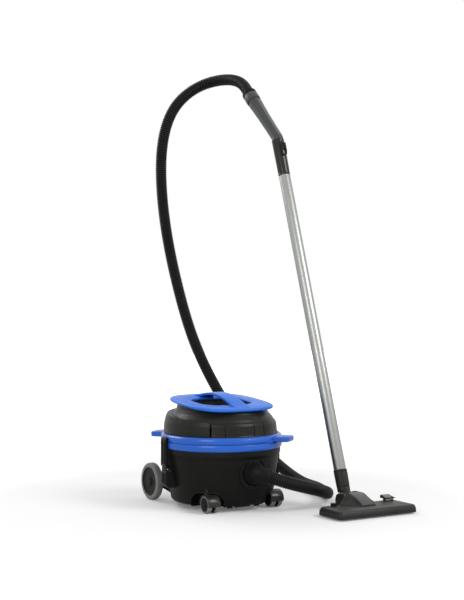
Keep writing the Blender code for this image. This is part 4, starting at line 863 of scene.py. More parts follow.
# the inlet and its elbow
def makeInlet():
    face = -inlet["faceY"]
    spot = (inlet["x"], 0, inlet["z"])
    profile = [(0, 0.14, 0), (0.0345, 0.14, 0), (0.0345, face - 0.002, 0.0016), (0.0315, face - 0.0004, 0.0012),
            (0.0298, face - 0.0004, 0.0005), (0.0292, face - 0.0016, 0.0004), (0.027, face - 0.0016, 0.0004),
            (0.0264, face, 0.0005), (0, face, 0)]
    piece = makePiece("inletFlange", spunMesh(profile, 3, 96), "partBlack", spot, alongY, sharp=30)
    cut(piece, [skinOfTub()], 30)
    spigot = cutter(rodMesh(0.0195, 0.149, face - 0.004, 64), spot, alongY)
    join(piece, [spigot], 30)
    bore = cutter(rodMesh(0.0165, 0.13, face + 0.01, 64), spot, alongY)
    cut(piece, [bore], 30)
    fit(piece, "black_shell", "inlet_flange")

    # the elbow starts as a wide swivel collar and narrows to the hose's socket
    line, leaving = elbowLine(18)
    path, length = evenlyAlong(line, 56)
    widths = [(0.0, 0.0302), (0.0009, 0.031), (0.0042, 0.031), (0.005, 0.03), (0.0056, 0.0292), (0.008, 0.029),
            (0.014, 0.0278), (0.022, 0.0258), (0.03, 0.0242), (0.036, 0.0236), (1.0, 0.0234)]
    radii = []
    for i in range(len(path)):
        along = length * i / (len(path) - 1)
        left = length - along
        radii.append(widthAt(widths, along))
        if 0.006 < left < 0.0078:
            radii[-1] = 0.0226
        if left < 0.0008:
            radii[-1] = 0.0228
    elbow = makePiece("inletElbow", tubeMesh(path, radii, 64, [0.0165] * len(path)), "partBlack", sharp=50)
    fit(elbow, "black_shell", "inlet_elbow")
    print("inlet made")


# the metal wand with its sleeve, slider, grip and cuff
slider = {"low": 0.062, "length": 0.042, "half": 0.009, "proud": 0.0075}


def makeWand():
    lean = uprightAlong(wandUp)
    profile = [(wand["radius"], -wand["hidden"], 0.0004), (wand["radius"], wand["seen"], 0.0004),
            (0.0166, wand["seen"], 0), (0.0166, -wand["hidden"], 0)]
    piece = makePiece("wandTube", spunMesh(profile, 2, 96), "wandMetal", wandFoot, lean)
    fit(piece, "bright_tube", "wand")

    reach, radius = handle["sleeve"], handle["sleeveRadius"]
    spigot = 0.0163
    profile = [(spigot - 0.002, -0.045, 0), (spigot, -0.044, 0), (spigot, 0.0003, 0), (0.0177, 0.0003, 0),
            (0.0184, 0.003, 0.001), (0.019, 0.005, 0.0005), (0.0183, 0.0062, 0.0004), (0.0188, 0.018, 0.002),
            (radius, reach - 0.03, 0.004), (radius, reach - 0.012, 0.0004), (radius - 0.0007, reach - 0.0114, 0.0003),
            (radius - 0.0007, reach - 0.0096, 0.0003), (radius, reach - 0.009, 0.0004), (radius, reach - 0.001, 0.0008),
            (radius - 0.001, reach, 0.0003), (spigot - 0.002, reach, 0)]
    sleeve = makePiece("handleSleeve", spunMesh(profile, 3, 72), "glossBlack", wandHead, lean, sharp=35)
    low = slider["low"]
    vent = cutter(blockMesh((-0.004, 0.01, low + 0.026), (0.004, 0.03, low + 0.034)), wandHead, lean)
    cut(sleeve, [vent], 35)
    fit(sleeve, "gloss_black", "handle_sleeve")
    # a pale panel on the sleeve's front shows inside the slider's frame
    panel = makePiece("sleevePanel", rodMesh(radius + 0.0001, low + 0.002, low + 0.023, 96, 0.0165), "pedalGrey",
            wandHead, lean)
    window = cutter(acrossY(upright(0.0066, (low + 0.003, 0.002), (low + 0.022, 0.002), 4), 0.005, 0.03), wandHead,
            lean)
    keepWithin(panel, [window], 40)
    fit(panel, "pale_grey_plastic")

    # the slider is a frame round the pale panel, lower at its foot, with thumb grooves above
    front = radius + slider["proud"]
    outline = upright(slider["half"], (low, 0.006), (low + slider["length"], 0.004), 6)
    knob = makePiece("suctionSlider", acrossY(outline, radius - 0.004, front), "partBlack", wandHead, lean,
            bevel=0.0011, sharp=40)
    seat = cutter(rodMesh(radius + clearance, low - 0.02, low + 0.06, 96), wandHead, lean)
    frameHole = cutter(acrossY(upright(0.0054, (low + 0.004, 0.004), (low + 0.021, 0.002), 5), radius - 0.01,
            front + 0.01), wandHead, lean)
    slope = cutter(acrossX([(front + 0.001, low - 0.001), (front + 0.001, low + 0.0215), (front - 0.0045, low - 0.001)],
            -0.02, 0.02), wandHead, lean)
    cut(knob, [seat, frameHole, slope], 40)
    grooves = [cutter(blockMesh((-0.006, front - 0.0012, low + height), (0.006, front + 0.006, low + height + 0.0014)),
            wandHead, lean) for height in (0.026, 0.03, 0.034)]
    cut(knob, grooves, 40)
    fit(knob, "black_shell", "suction_slider", body="suction_slider")
    print("wand, sleeve and slider made")


def facetted(count, depth, turn=0.0):
    def shape(angle, i):
        part = 2 * math.pi / count
        flat = math.cos(part / 2) / math.cos((angle + turn) % part - part / 2)
        return 1 - depth + depth * flat

    return shape


def makeHandle():
    corner = sleeveHead + wandUp * 0.003
    line = [sleeveHead + wandUp * clearance, corner]
    bend = math.radians(handle["lean"] - wand["lean"])
    outward = Vector((0, wandUp.z, -wandUp.y))
    for step in range(1, 13):
        angle = bend * step / 12
        line.append(corner + handle["bend"] * (wandUp * math.sin(angle) + outward * (1 - math.cos(angle))))
    line.append(cuffFoot - gripUp * clearance)
    path, length = evenlyAlong(line, 96)
    widths = [(0.0, 0.0184), (0.012, 0.0179), (0.02, 0.0179), (0.06, 0.0181), (0.12, 0.0193), (0.165, 0.0209),
            (0.182, 0.022), (1.0, 0.022)]
    radii = []
    for i in range(len(path)):
        along = length * i / (len(path) - 1)
        radii.append(widthAt(widths, along))
        if length - along < 0.003:
            radii[-1] -= 0.001
    shape = facetted(6, 0.85, math.radians(handle["facetTurn"]))
    piece = makePiece("handleGrip", tubeMesh(path, radii, 72, [0.0142] * len(path), shape), "handleGrey", sharp=28)
    fit(piece, "dark_grey_plastic", "handle_tube")

    # a grey cuff with a notched black turning ring where the hose goes in
    radius, reach = handle["cuffRadius"], handle["cuffLength"]
    profile = [(0.0142, 0, 0), (radius - 0.0016, 0, 0.0008), (radius - 0.0004, 0.003, 0.002), (radius, 0.012, 0.003),
            (radius - 0.0004, 0.027, 0.0006), (radius - 0.0016, 0.0276, 0.0003), (radius - 0.0016, 0.0292, 0.0003),
            (radius - 0.004, 0.0296, 0.0003), (0.0195, reach - 0.0006, 0.0004), (0.0142, reach, 0)]
    cuff = makePiece("hoseCuff", spunMesh(profile, 3, 80), "handleGrey", cuffFoot, uprightAlong(gripUp), sharp=35)
    fit(cuff, "black_shell", "hose_cuff")
    collarPath = [cuffFoot + gripUp * along for along in (0.0299, 0.0305, 0.033, 0.0335, 0.039, 0.0395, 0.0435, 0.0449)]

    def notched(angle, i):
        return 0.94 if (angle / (2 * math.pi) * 12) % 1 < 0.35 and 2 < i < 5 else 1.0

    radii = [0.0228, 0.0237, 0.0237, 0.0237, 0.0237, 0.0237, 0.0232, 0.0212]
    collar = makePiece("gripCollar", tubeMesh(collarPath, radii, 96,
            [0.0202, 0.0202, 0.0202, 0.0202, 0.02, 0.02, 0.0198, 0.0197], notched), "partBlack", sharp=40)
    fit(collar, "black_shell")
    print("handle made")


# the floor head and its neck
shoe = {"x": 0.262, "wide": 0.27, "front": -0.425, "rear": -0.31, "low": 0.004, "top": 0.0255, "wall": 0.003,
        "tiltY": -0.285, "tiltZ": 0.034, "domeHalf": 0.038, "domeRear": -0.264, "barrel": 0.0165, "barrelHalf": 0.0225}
shoeLevel = shoe["top"] + clearance
neckPivot = Vector((shoe["x"], shoe["tiltY"], shoe["tiltZ"]))


def makeNeck():
    lean = uprightAlong(wandUp)
    outer = wand["radius"] + 0.002
    stop = -wand["hidden"] - clearance
    profile = [(0.0183, 0, 0), (outer - 0.0006, 0, 0.0004), (outer, -0.0016, 0.0006), (outer, -0.006, 0.0005),
            (outer - 0.0008, -0.0068, 0.0003), (outer - 0.0008, -0.0082, 0.0003), (outer - 0.0001, -0.009, 0.0005),
            (outer - 0.0006, -0.038, 0.004), (outer - 0.001, stop - 0.003, 0.0008),
            (outer - 0.002, stop - 0.004, 0.0004), (0.013, stop - 0.004, 0), (0.013, stop, 0), (0.0183, stop, 0)]
    socket = makePiece("neckSocket", spunMesh(profile, 3, 80), "shoeGrey", wandFoot, lean, sharp=35)
    fit(socket, "dark_grey_plastic", "neck_socket")
    top = wandFoot + wandUp * (stop - 0.0043)
    low = top - wandUp * 0.0105
    way = neckPivot - low
    collar = spunMesh([(0.0115, -0.0125, 0), (0.0188, -0.0125, 0.003), (0.0188, 0, 0.0006), (0.0115, 0, 0)], 5, 80)
    elbow = makePiece("neckElbow", collar, "shoeGrey", top, lean)
    barrel = cutter(rodMesh(shoe["barrel"], -shoe["barrelHalf"], shoe["barrelHalf"], 80, 0, 0.0012), neckPivot, alongX)
    arm = cutter(rodMesh(0.0155, 0, way.length, 64), low, uprightAlong(way))
    join(elbow, [barrel, arm], 35)
    bore = cutter(rodMesh(0.0115, -0.003, way.length + 0.03, 48), low, uprightAlong(way))
    pinHole = cutter(rodMesh(0.0033, -0.05, 0.05, 32), neckPivot, alongX)
    cut(elbow, [bore, pinHole], 35)
    fit(elbow, "dark_grey_plastic", "neck_elbow", body="neck")
    print("neck made")


def shoeOutline(inset=0.0, steps=8):
    half = shoe["wide"] / 2 - inset
    front, rear = shoe["front"] + inset, shoe["rear"] - inset
    points = []
    for x, y, radius, start in ((half, front, 0.01 - inset / 2, -90), (half, rear, 0.02 - inset / 2, 0),
            (-half, rear, 0.02 - inset / 2, 90), (-half, front, 0.01 - inset / 2, 180)):
        middleX = x - math.copysign(radius, x)
        middleY = y + (radius if y == front else -radius)
        for step in range(steps + 1):
            angle = math.radians(start + 90 * step / steps)
            points.append((shoe["x"] + middleX + radius * math.cos(angle), middleY + radius * math.sin(angle)))
    return points


def shoeBlock(low, high):
    return blockMesh((shoe["x"] + low[0], low[1], low[2]), (shoe["x"] + high[0], high[1], high[2]))


pedal = {"wide": 0.04, "deep": 0.027, "top": 0.041, "y": -0.326, "ears": 0.0145}
pedal["x"] = shoe["x"] + shoe["wide"] / 2 - pedal["wide"] / 2 - 0.008
pedalPin = (pedal["x"], pedal["y"], pedal["top"] - 0.0105)


def makeShoe():
    low, top = shoe["low"], shoe["top"]
    heights = [(0.001, low), (0.0002, low + 0.0008), (0.0, low + 0.002), (0.0003, low + 0.0052), (0.0009, low + 0.0056),
            (0.0009, low + 0.0068), (0.0004, low + 0.0072), (0.0008, top - 0.0085), (0.001, top - 0.008),
            (0.0016, top - 0.0065), (0.003, top - 0.0038), (0.0046, top - 0.0014), (0.0056, top - 0.0004),
            (0.0066, top)]
    piece = makePiece("floorHeadShell", slabLevels(shoeOutline, heights), "shoeGrey", sharp=24)
    cheeks = cutter(shoeBlock((-shoe["domeHalf"], shoe["rear"] - 0.02, low + 0.004),
            (shoe["domeHalf"], shoe["domeRear"], top)), bevel=0.003, sharp=50)
    join(piece, [cheeks], 24)
    inset = shoe["wall"] + 0.004
    cutters = [cutter(slabLevels(shoeOutline, [(inset, low - 0.01), (inset, top - 0.005)]))]
    gapHalf = shoe["barrelHalf"] + 0.001
    cutters.append(cutter(shoeBlock((-gapHalf, shoe["tiltY"] - 0.01, 0), (gapHalf, shoe["domeRear"] + 0.01, 0.1))))
    cutters.append(cutter(rodMesh(shoe["barrel"] + 0.0015, -gapHalf, gapHalf, 80), neckPivot, alongX))
    cutters.append(cutter(shoeBlock((-0.014, shoe["rear"] - 0.02, low + 0.004),
            (0.014, shoe["tiltY"] - 0.005, top - 0.008))))
    cut(piece, cutters, 24)
    ears = []
    for side in (-1, 1):
        centre = pedal["x"] + side * pedal["ears"]
        outline = rounded([(pedal["y"] - 0.004, top - 0.004, 0), (pedal["y"] + 0.004, top - 0.004, 0),
                (pedal["y"] + 0.004, pedalPin[2] + 0.0035, 0.0036),
                (pedal["y"] - 0.004, pedalPin[2] + 0.0035, 0.0036)], 6)
        ears.append(cutter(acrossX(outline, centre - 0.0015, centre + 0.0015)))
    join(piece, ears, 24)
    cut(piece, [cutter(rodMesh(0.0018, -0.02, 0.02, 24), pedalPin, alongX)], 24)
    fit(piece, "dark_grey_plastic", "floor_head_body", body="floor_head")
    # a soft bumper lip lies in the groove round the front and sides
    lip = [(0.0016, low + 0.0057), (0.0001, low + 0.0058), (0.0001, low + 0.0066), (0.0016, low + 0.0067)]
    bumper = makePiece("bumperLip", slabLevels(shoeOutline, lip), "softRubber")
    inside = cutter(slabLevels(shoeOutline, [(0.0014, 0), (0.0014, 0.03)]))
    cut(bumper, [inside, cutter(shoeBlock((-0.06, shoe["rear"] - 0.01, 0), (0.06, 0, 0.05)))], 40)
    fit(bumper, "black_rubber", body="floor_head")
    print("floor head made")


# the tread pedal: a dark rocker under a ridged pale pad
def makePedal():
    half, deep = pedal["wide"] / 2, pedal["deep"] / 2
    shapeLine = rounded([(-deep, 0.0026, 0.001), (deep, 0.0026, 0.0008), (deep, 0.0072, 0.0014),
            (-deep, 0.0042, 0.0008)], 5)
    lever = makePiece("brushPedal", acrossX(shapeLine, -half, half - 0.004), "partBlack", pedalPin, bevel=0.001,
            sharp=50)
    shapeLine = rounded([(-deep + 0.001, -0.0012, 0.0006), (-deep + 0.004, -0.0012, 0.0006),
            (-deep + 0.0075, 0.0045, 0), (deep - 0.001, 0.006, 0), (deep - 0.001, 0.0122, 0.003),
            (deep - 0.008, 0.0122, 0.005), (-deep + 0.0006, 0.0008, 0.0008)], 5)
    pad = makePiece("pedalPad", acrossX(shapeLine, -0.018, 0.008), "pedalGrey", pedalPin, bevel=0.0012, sharp=50)
    ridges = [cutter(blockMesh((-0.015, y, z - 0.004), (0.005, y + 0.0012, z)), pedalPin)
            for y, z in ((-0.0078, 0.0062), (-0.0034, 0.0092), (0.001, 0.0118))]
    join(pad, ridges, 40)
    rib = cutter(acrossX([(-0.004, -0.003), (0.004, -0.003), (0.004, 0.004), (-0.004, 0.004)], -half + 0.008,
            half - 0.008), pedalPin)
    join(lever, [rib], 40)
    cutters = [cutter(rodMesh(0.0018, -0.04, 0.04, 24), pedalPin, alongX)]
    for side in (-1, 1):
        centre = side * pedal["ears"]
        cutters.append(cutter(blockMesh((centre - 0.0022, -0.006, -0.01), (centre + 0.0022, 0.006, 0.0046)), pedalPin))
    cut(lever, cutters, 40)
    fit(lever, "black_shell", body="brush_pedal")
    fit(pad, "pale_grey_plastic", "brush_pedal", body="brush_pedal")
    # dark cheeks on both sides of the pale pad
    for word, near, far in (("Left", -0.0195, -0.0178), ("Right", 0.0078, 0.0095)):
        cheek = acrossX(rounded([(-deep + 0.002, 0.003, 0), (deep - 0.0008, 0.004, 0), (deep - 0.0008, 0.011, 0.0026),
                (deep - 0.008, 0.011, 0.004), (-deep + 0.0025, 0.005, 0.001)], 4), near, far)
        made = makePiece("pedalCheek" + word, cheek, "partBlack", pedalPin)
        fit(made, "black_shell", body="brush_pedal")
    print("pedal made")


def makeKnob():
    profile = rounded([(0, 0, 0), (0.009, 0, 0), (0.009, 0.0062, 0.0008), (0.0078, 0.0083, 0.001),
            (0.0058, 0.0083, 0.0004), (0.0054, 0.0078, 0.0003), (0, 0.0078, 0)], 4)
    spot = (shoe["x"] - 0.085, shoe["rear"] - 0.014, shoeLevel)
    knob = makePiece("headKnob", turnedMesh(profile, 72), "partBlack", spot)
    for k in range(18):
        angle = math.radians(20 * k)
        groove = cutter(rodMesh(0.0006, 0.001, 0.0075, 8), (spot[0] + 0.0091 * math.cos(angle),
                spot[1] + 0.0091 * math.sin(angle), spot[2]))
        cut(knob, [groove], 40)
    fit(knob, "black_shell", "head_knob", body="floor_head")
    # the pale cap on the knob's top is a painted highlight: the knob's glint drawn as a pale grey disc
    dot = makePiece("knobHighlightCap", spunMesh([(0, 0.0074, 0), (0.005, 0.0074, 0), (0.005, 0.0082, 0.0005), (0, 0.0085, 0)],
            4, 48), "pedalGrey", spot)
    fit(dot, "pale_grey_plastic", body="floor_head")
    print("knob made")


dome = {"front": -0.376, "crest": -0.292, "high": 0.029, "band": 0.0238, "flare": 0.06, "flareY": -0.318, "lip": 0.0016}


def domeSection(y, steps=6):
    low = shoeLevel
    share = min(1.0, max(0.0, (dome["crest"] - y) / (dome["crest"] - dome["front"])))
    high = dome["lip"] + (dome["high"] - dome["lip"]) * (1 - share ** 1.9)
    if y > dome["crest"]:
        back = (y - dome["crest"]) / (shoe["domeRear"] - dome["crest"])
        high *= 1 - 0.22 * back ** 2.5
    if y < dome["flareY"]:
        along = (y - dome["front"]) / (dome["flareY"] - dome["front"])
        foot = dome["band"] + 0.0015 + (dome["flare"] - dome["band"]) * along ** 1.3
    else:
        along = min(1.0, (y - dome["flareY"]) / 0.016)
        foot = dome["flare"] + (0.037 - dome["flare"]) * (3 * along ** 2 - 2 * along ** 3)
    band = dome["band"]
    full = min(1.0, max(0.0, (y - dome["flareY"] + 0.004) / 0.018))
    full = 3 * full ** 2 - 2 * full ** 3
    half = [(foot, 0.0), (foot - 0.0006 * (1 - full), 0.03 * high / dome["high"] + 0.0005 / high)]
    for step in range(1, steps + 1):
        angle = math.radians(90 * step / steps)
        hollowX, hollowZ = (1 - math.sin(angle)) ** 0.72, 0.1 + 0.86 * (1 - math.cos(angle)) ** 0.8
        roundX, roundZ = math.cos(angle) ** 0.55, 0.1 + 0.86 * math.sin(angle)
        half.append((band + (foot - 0.0006 - band) * (hollowX + (roundX - hollowX) * full),
                hollowZ + (roundZ - hollowZ) * full))
    half += [(band - 0.0012, 0.985), (band - 0.004, 1.0), (band * 0.45, 1.015), (0.0, 1.02)]
    points = [(x, low + high * z) for x, z in half]
    points += [(-x, z) for x, z in points[-2::-1]]
    return [(shoe["x"] + x, y, z) for x, z in points], low + high


def makeDome():
    low = shoeLevel
    count = 40
    places = [dome["front"] + (shoe["domeRear"] - dome["front"]) * step / count for step in range(count + 1)]
    piece = makePiece("domeCover", loftedMesh([domeSection(y)[0] for y in places]), "shoeGrey", sharp=40)
    cutters = [cutter(shoeBlock((-0.02, shoe["tiltY"] - 0.0175, low - 0.01), (0.02, shoe["domeRear"] + 0.01, 0.1))),
            cutter(shoeBlock((-0.018, dome["front"] + 0.024, low - 0.01), (0.018, shoe["tiltY"] - 0.022, low + 0.006))),
            cutter(rodMesh(shoe["barrel"] + 0.0015, -shoe["barrelHalf"] - 0.001, shoe["barrelHalf"] + 0.001, 80),
            neckPivot, alongX), cutter(rodMesh(0.0033, -0.0345, 0.0345, 32), neckPivot, alongX)]
    cut(piece, cutters, 40)
    fit(piece, "gloss_black", "dome_cover", body="floor_head")
    # the paler band let into the arched top, in front of the neck's slot
    loops = []
    for step in range(31):
        y = dome["front"] + 0.0022 + (shoe["tiltY"] - 0.0195 - dome["front"] - 0.0022) * step / 30
        crest = domeSection(y)[1]
        outer = dome["band"] - 0.0046
        loops.append([(shoe["x"] + x, y, crest + z) for x, z in ((outer, -0.001), (outer, 0.0004), (outer * 0.5, 0.001),
                (0.0, 0.0012), (-outer * 0.5, 0.001), (-outer, 0.0004), (-outer, -0.001))])
    crescent = makePiece("domeCrescent", loftedMesh(loops), "crescentGrey", sharp=40)
    fit(crescent, "dark_grey_plastic", body="floor_head")
    print("dome made")


# brushes: two strips of tufts under the floor head
tuft = {"pitch": 0.0014, "rows": (-0.0009, 0.0009), "tip": 0.00022, "root": 0.00055, "sway": 0.0007, "top": 0.0118}
around = ((1, 0), (0, 1), (-1, 0), (0, -1))
brushes = {"front": {"y": -0.409, "half": 0.117, "seed": 5}, "rear": {"y": -0.331, "half": 0.097, "seed": 9}}


def makeBrushes():
    for word, brush in brushes.items():
        chance = random.Random(brush["seed"])
        mesh = bmesh.new()
        count = round(2 * brush["half"] / tuft["pitch"])
        for row in tuft["rows"]:
            for k in range(count):
                x = -brush["half"] + 0.001 + (2 * brush["half"] - 0.002) * (k + chance.random() * 0.5) / count
                foot = 0.0001 + 0.0022 * chance.random() ** 2
                swayX, swayY = [chance.uniform(-tuft["sway"], tuft["sway"]) for _ in range(2)]
                tip, root = tuft["tip"], tuft["root"]
                loops = [[(x + swayX + tip * a, row + swayY + tip * b, foot) for a, b in around],
                        [(x + root * a, row + root * b, tuft["top"]) for a, b in around]]
                first, last = skinOver(mesh, loops)
                mesh.faces.new(first[::-1])
                mesh.faces.new(last)
        strip = makePiece("brush" + word.capitalize(), mesh, "bristleBlack", (shoe["x"], brush["y"], 0))
        bar = makePiece("brushBar" + word.capitalize(), blockMesh((-brush["half"], -0.0017, 0.0082),
                (brush["half"], 0.0017, 0.012)), "partBlack", (shoe["x"], brush["y"], 0), bevel=0.0005)
        fit(strip, "bristle_black", "brush_" + word, body="brush_strips")
        fit(bar, "black_shell", body="brush_strips")
    for side, word in ((-1, "left"), (1, "right")):
        profile = rounded([(0, -0.011, 0), (0.0017, -0.011, 0), (0.0017, -0.006, 0), (0.007, -0.006, 0.001),
                (0.007, 0.006, 0.001), (0.0017, 0.006, 0), (0.0017, 0.011, 0), (0, 0.011, 0)], 4)
        roller = makePiece("soleRoller" + word.capitalize(), turnedMesh(profile, 40), "softRubber",
                (shoe["x"] + side * 0.07, -0.35, 0.007), alongX)
        fit(roller, "black_rubber", "sole_roller_" + word, body="sole_roller_" + word)
    print("brushes and rollers made")


# rear wheels on a fixed axle
rearWheel = {"radius": 0.056, "wide": 0.024, "hub": 0.043, "outX": 0.148, "y": 0.183, "axle": 0.004}


def makeRearWheels():
    half, radius, hubRadius = rearWheel["wide"] / 2, rearWheel["radius"], rearWheel["hub"]
    for side, word in ((-1, "left"), (1, "right")):
        spot = (side * (rearWheel["outX"] - half), rearWheel["y"], radius)
        turn = turned(y=90 * side)
        inner = hubRadius + clearance
        profile = [(inner, -half + 0.0012, 0.0004), (radius - 0.0042, -half + 0.0012, 0.002),
                (radius - 0.0012, -half + 0.0034, 0.0022), (radius - 0.0002, -0.0062, 0.0006),
                (radius - 0.001, -0.0056, 0.0003), (radius - 0.001, -0.0046, 0.0003), (radius, -0.004, 0.0005)]
        profile += [(reach, -along, corner) for reach, along, corner in reversed(profile)]
        tyre = makePiece("rearTyre" + word.capitalize(), spunMesh(profile, 4, 120), "tyreGrey", spot, turn, sharp=40)
        fit(tyre, "tyre_grey", "rear_tyre_" + word, body="rear_wheel_" + word)
        bore = rearWheel["axle"] + clearance
        profile = [(bore, -half, 0), (0.012, -half, 0.0005), (0.014, -half + 0.004, 0.001),
                (hubRadius - 0.004, -half + 0.004, 0.001), (hubRadius, -half + 0.002, 0.0005),
                (hubRadius, half - 0.0016, 0.0008), (hubRadius - 0.0014, half - 0.0006, 0.0006),
                (hubRadius - 0.0036, half - 0.001, 0.0008), (hubRadius - 0.0056, half - 0.003, 0.001),
                (0.017, half - 0.0036, 0.001), (0.0145, half - 0.0016, 0.0008), (0.012, half - 0.0002, 0.001),
                (0, half, 0), (0, half - 0.0055, 0), (bore, half - 0.0055, 0)]
        hub = makePiece("rearHub" + word.capitalize(), spunMesh(profile, 4, 120), "partBlack", spot, turn, sharp=40)
        fit(hub, "wheel_black", "rear_hub_" + word, body="rear_wheel_" + word)
        # the arm that carries the axle, moulded against the tub
        high = rearWheel["outX"] - rearWheel["wide"] - 0.003
        outline = rounded([(0.09, 0.03, 0), (rearWheel["y"], radius - 0.012, 0.006),
                (rearWheel["y"] + 0.012, radius - 0.004, 0.005), (rearWheel["y"] + 0.012, radius + 0.006, 0.005),
                (rearWheel["y"], radius + 0.014, 0.008), (0.09, 0.095, 0)], 6)
        arm = makePiece("wheelArm" + word.capitalize(), acrossX(outline, side * 0.092, side * high), "tubBlack",
                bevel=0.0022, sharp=50)
        hole = cutter(rodMesh(bore, -0.15, 0.15, 32), (0, rearWheel["y"], radius), alongX)
        cut(arm, [skinOfTub(), hole], 35)
        fit(arm, "black_shell", "wheel_bracket_" + word)
    print("rear wheels made")


# twin-wheel casters under the front
caster = {"trail": 0.016, "radius": 0.025, "wide": 0.0155, "hood": 0.0272, "stem": 0.0055, "gap": 0.0042}


def makeCasters():
    gap, wide, radius = caster["gap"], caster["wide"], caster["radius"]
    half = gap + wide + 0.0005
    inner = radius + 0.0006
    for side, word in ((-1, "left"), (1, "right")):
        axis = Vector((side * arch["x"], arch["y"], 0))
        centre = axis + Vector((0, -caster["trail"], radius))
        arc = [math.radians(-5 + 196 * step / 40) for step in range(41)]
        fender = [(caster["hood"] * math.cos(angle), caster["hood"] * math.sin(angle)) for angle in arc]
        fender += [(inner * math.cos(angle), inner * math.sin(angle)) for angle in reversed(arc)]
        offset = centre - axis
        mesh = acrossX([(y + offset.y, z + offset.z) for y, z in fender], -half, half)
        hood = makePiece("casterHood" + word.capitalize(), mesh, "hoodGrey", axis, bevel=0.0005, sharp=60, bevelSteps=2)
        web = [(0.006, -0.006)] + [(caster["hood"] * math.cos(angle) * 0.995, caster["hood"] * math.sin(angle) * 0.995)
                for angle in arc]
        joined = [cutter(acrossX(web, -gap + 0.0006, gap - 0.0006), centre)]
        top = arch["top"] - clearance
        stem = rounded([(0, 0.044, 0), (0.0085, 0.044, 0), (0.0085, top, 0.0006), (caster["stem"], top, 0),
                (caster["stem"], arch["top"] + 0.003, 0), (0, arch["top"] + 0.003, 0)], 3)
        joined.append(cutter(turnedMesh(stem, 48), axis))
        join(hood, joined, 35)
        cutters = [cutter(rodMesh(0.0033, -0.03, 0.03, 24), centre, alongX)]
        for way in (-1, 1):
            cutters.append(cutter(rodMesh(inner, gap - 0.0004, 0.03, 96), centre, turned(y=90 * way)))
        cut(hood, cutters, 35)
        fit(hood, "gloss_black", "caster_hood_" + word, body="caster_" + word)
        for way, letter in ((-1, "a"), (1, "b")):
            spot = centre + Vector((way * gap, 0, 0))
            turn = turned(y=90 * way)
            profile = [(0.0033, 0, 0), (radius - 0.002, 0, 0.0006), (radius - 0.0016, 0.002, 0.0004),
                    (radius - 0.0016, wide - 0.0034, 0.0004), (radius - 0.005, wide - 0.003, 0.0004),
                    (radius - 0.0053, wide - 0.0016, 0.0004), (radius - 0.007, wide - 0.0022, 0.0008),
                    (0.009, wide - 0.0026, 0.001), (0.0074, wide - 0.0004, 0.0008), (0, wide, 0), (0, wide - 0.003, 0),
                    (0.0033, wide - 0.003, 0)]
            name = word.capitalize() + letter.capitalize()
            wheel = makePiece("casterWheel" + name, spunMesh(profile, 4, 80), "partBlack", spot, turn, sharp=40)
            body = "caster_wheel_%s_%s" % (word, letter)
            fit(wheel, "wheel_black", body, body=body)
            tread = [(radius - 0.0017, 0.0014, 0), (radius - 0.0004, 0.0016, 0.0005), (radius, 0.003, 0.0008),
                    (radius, wide - 0.005, 0.001), (radius - 0.0006, wide - 0.0026, 0.0008),
                    (radius - 0.0022, wide - 0.0012, 0.0008), (radius - 0.0046, wide - 0.001, 0.0004),
                    (radius - 0.005, wide - 0.003, 0), (radius - 0.0017, wide - 0.0034, 0)]
            ring = makePiece("casterTread" + name, spunMesh(tread, 3, 80), "tyreGrey", spot, turn, sharp=40)
            fit(ring, "tyre_grey", body=body)
    print("casters made")


# the two latches that hold the head on the tub
latch = {"angles": (176, -4), "wide": 0.033, "pivotR": 0.1815, "pivotZ": 0.1165, "footZ": 0.062, "thick": 0.008,
        "hookZ": 0.2044}


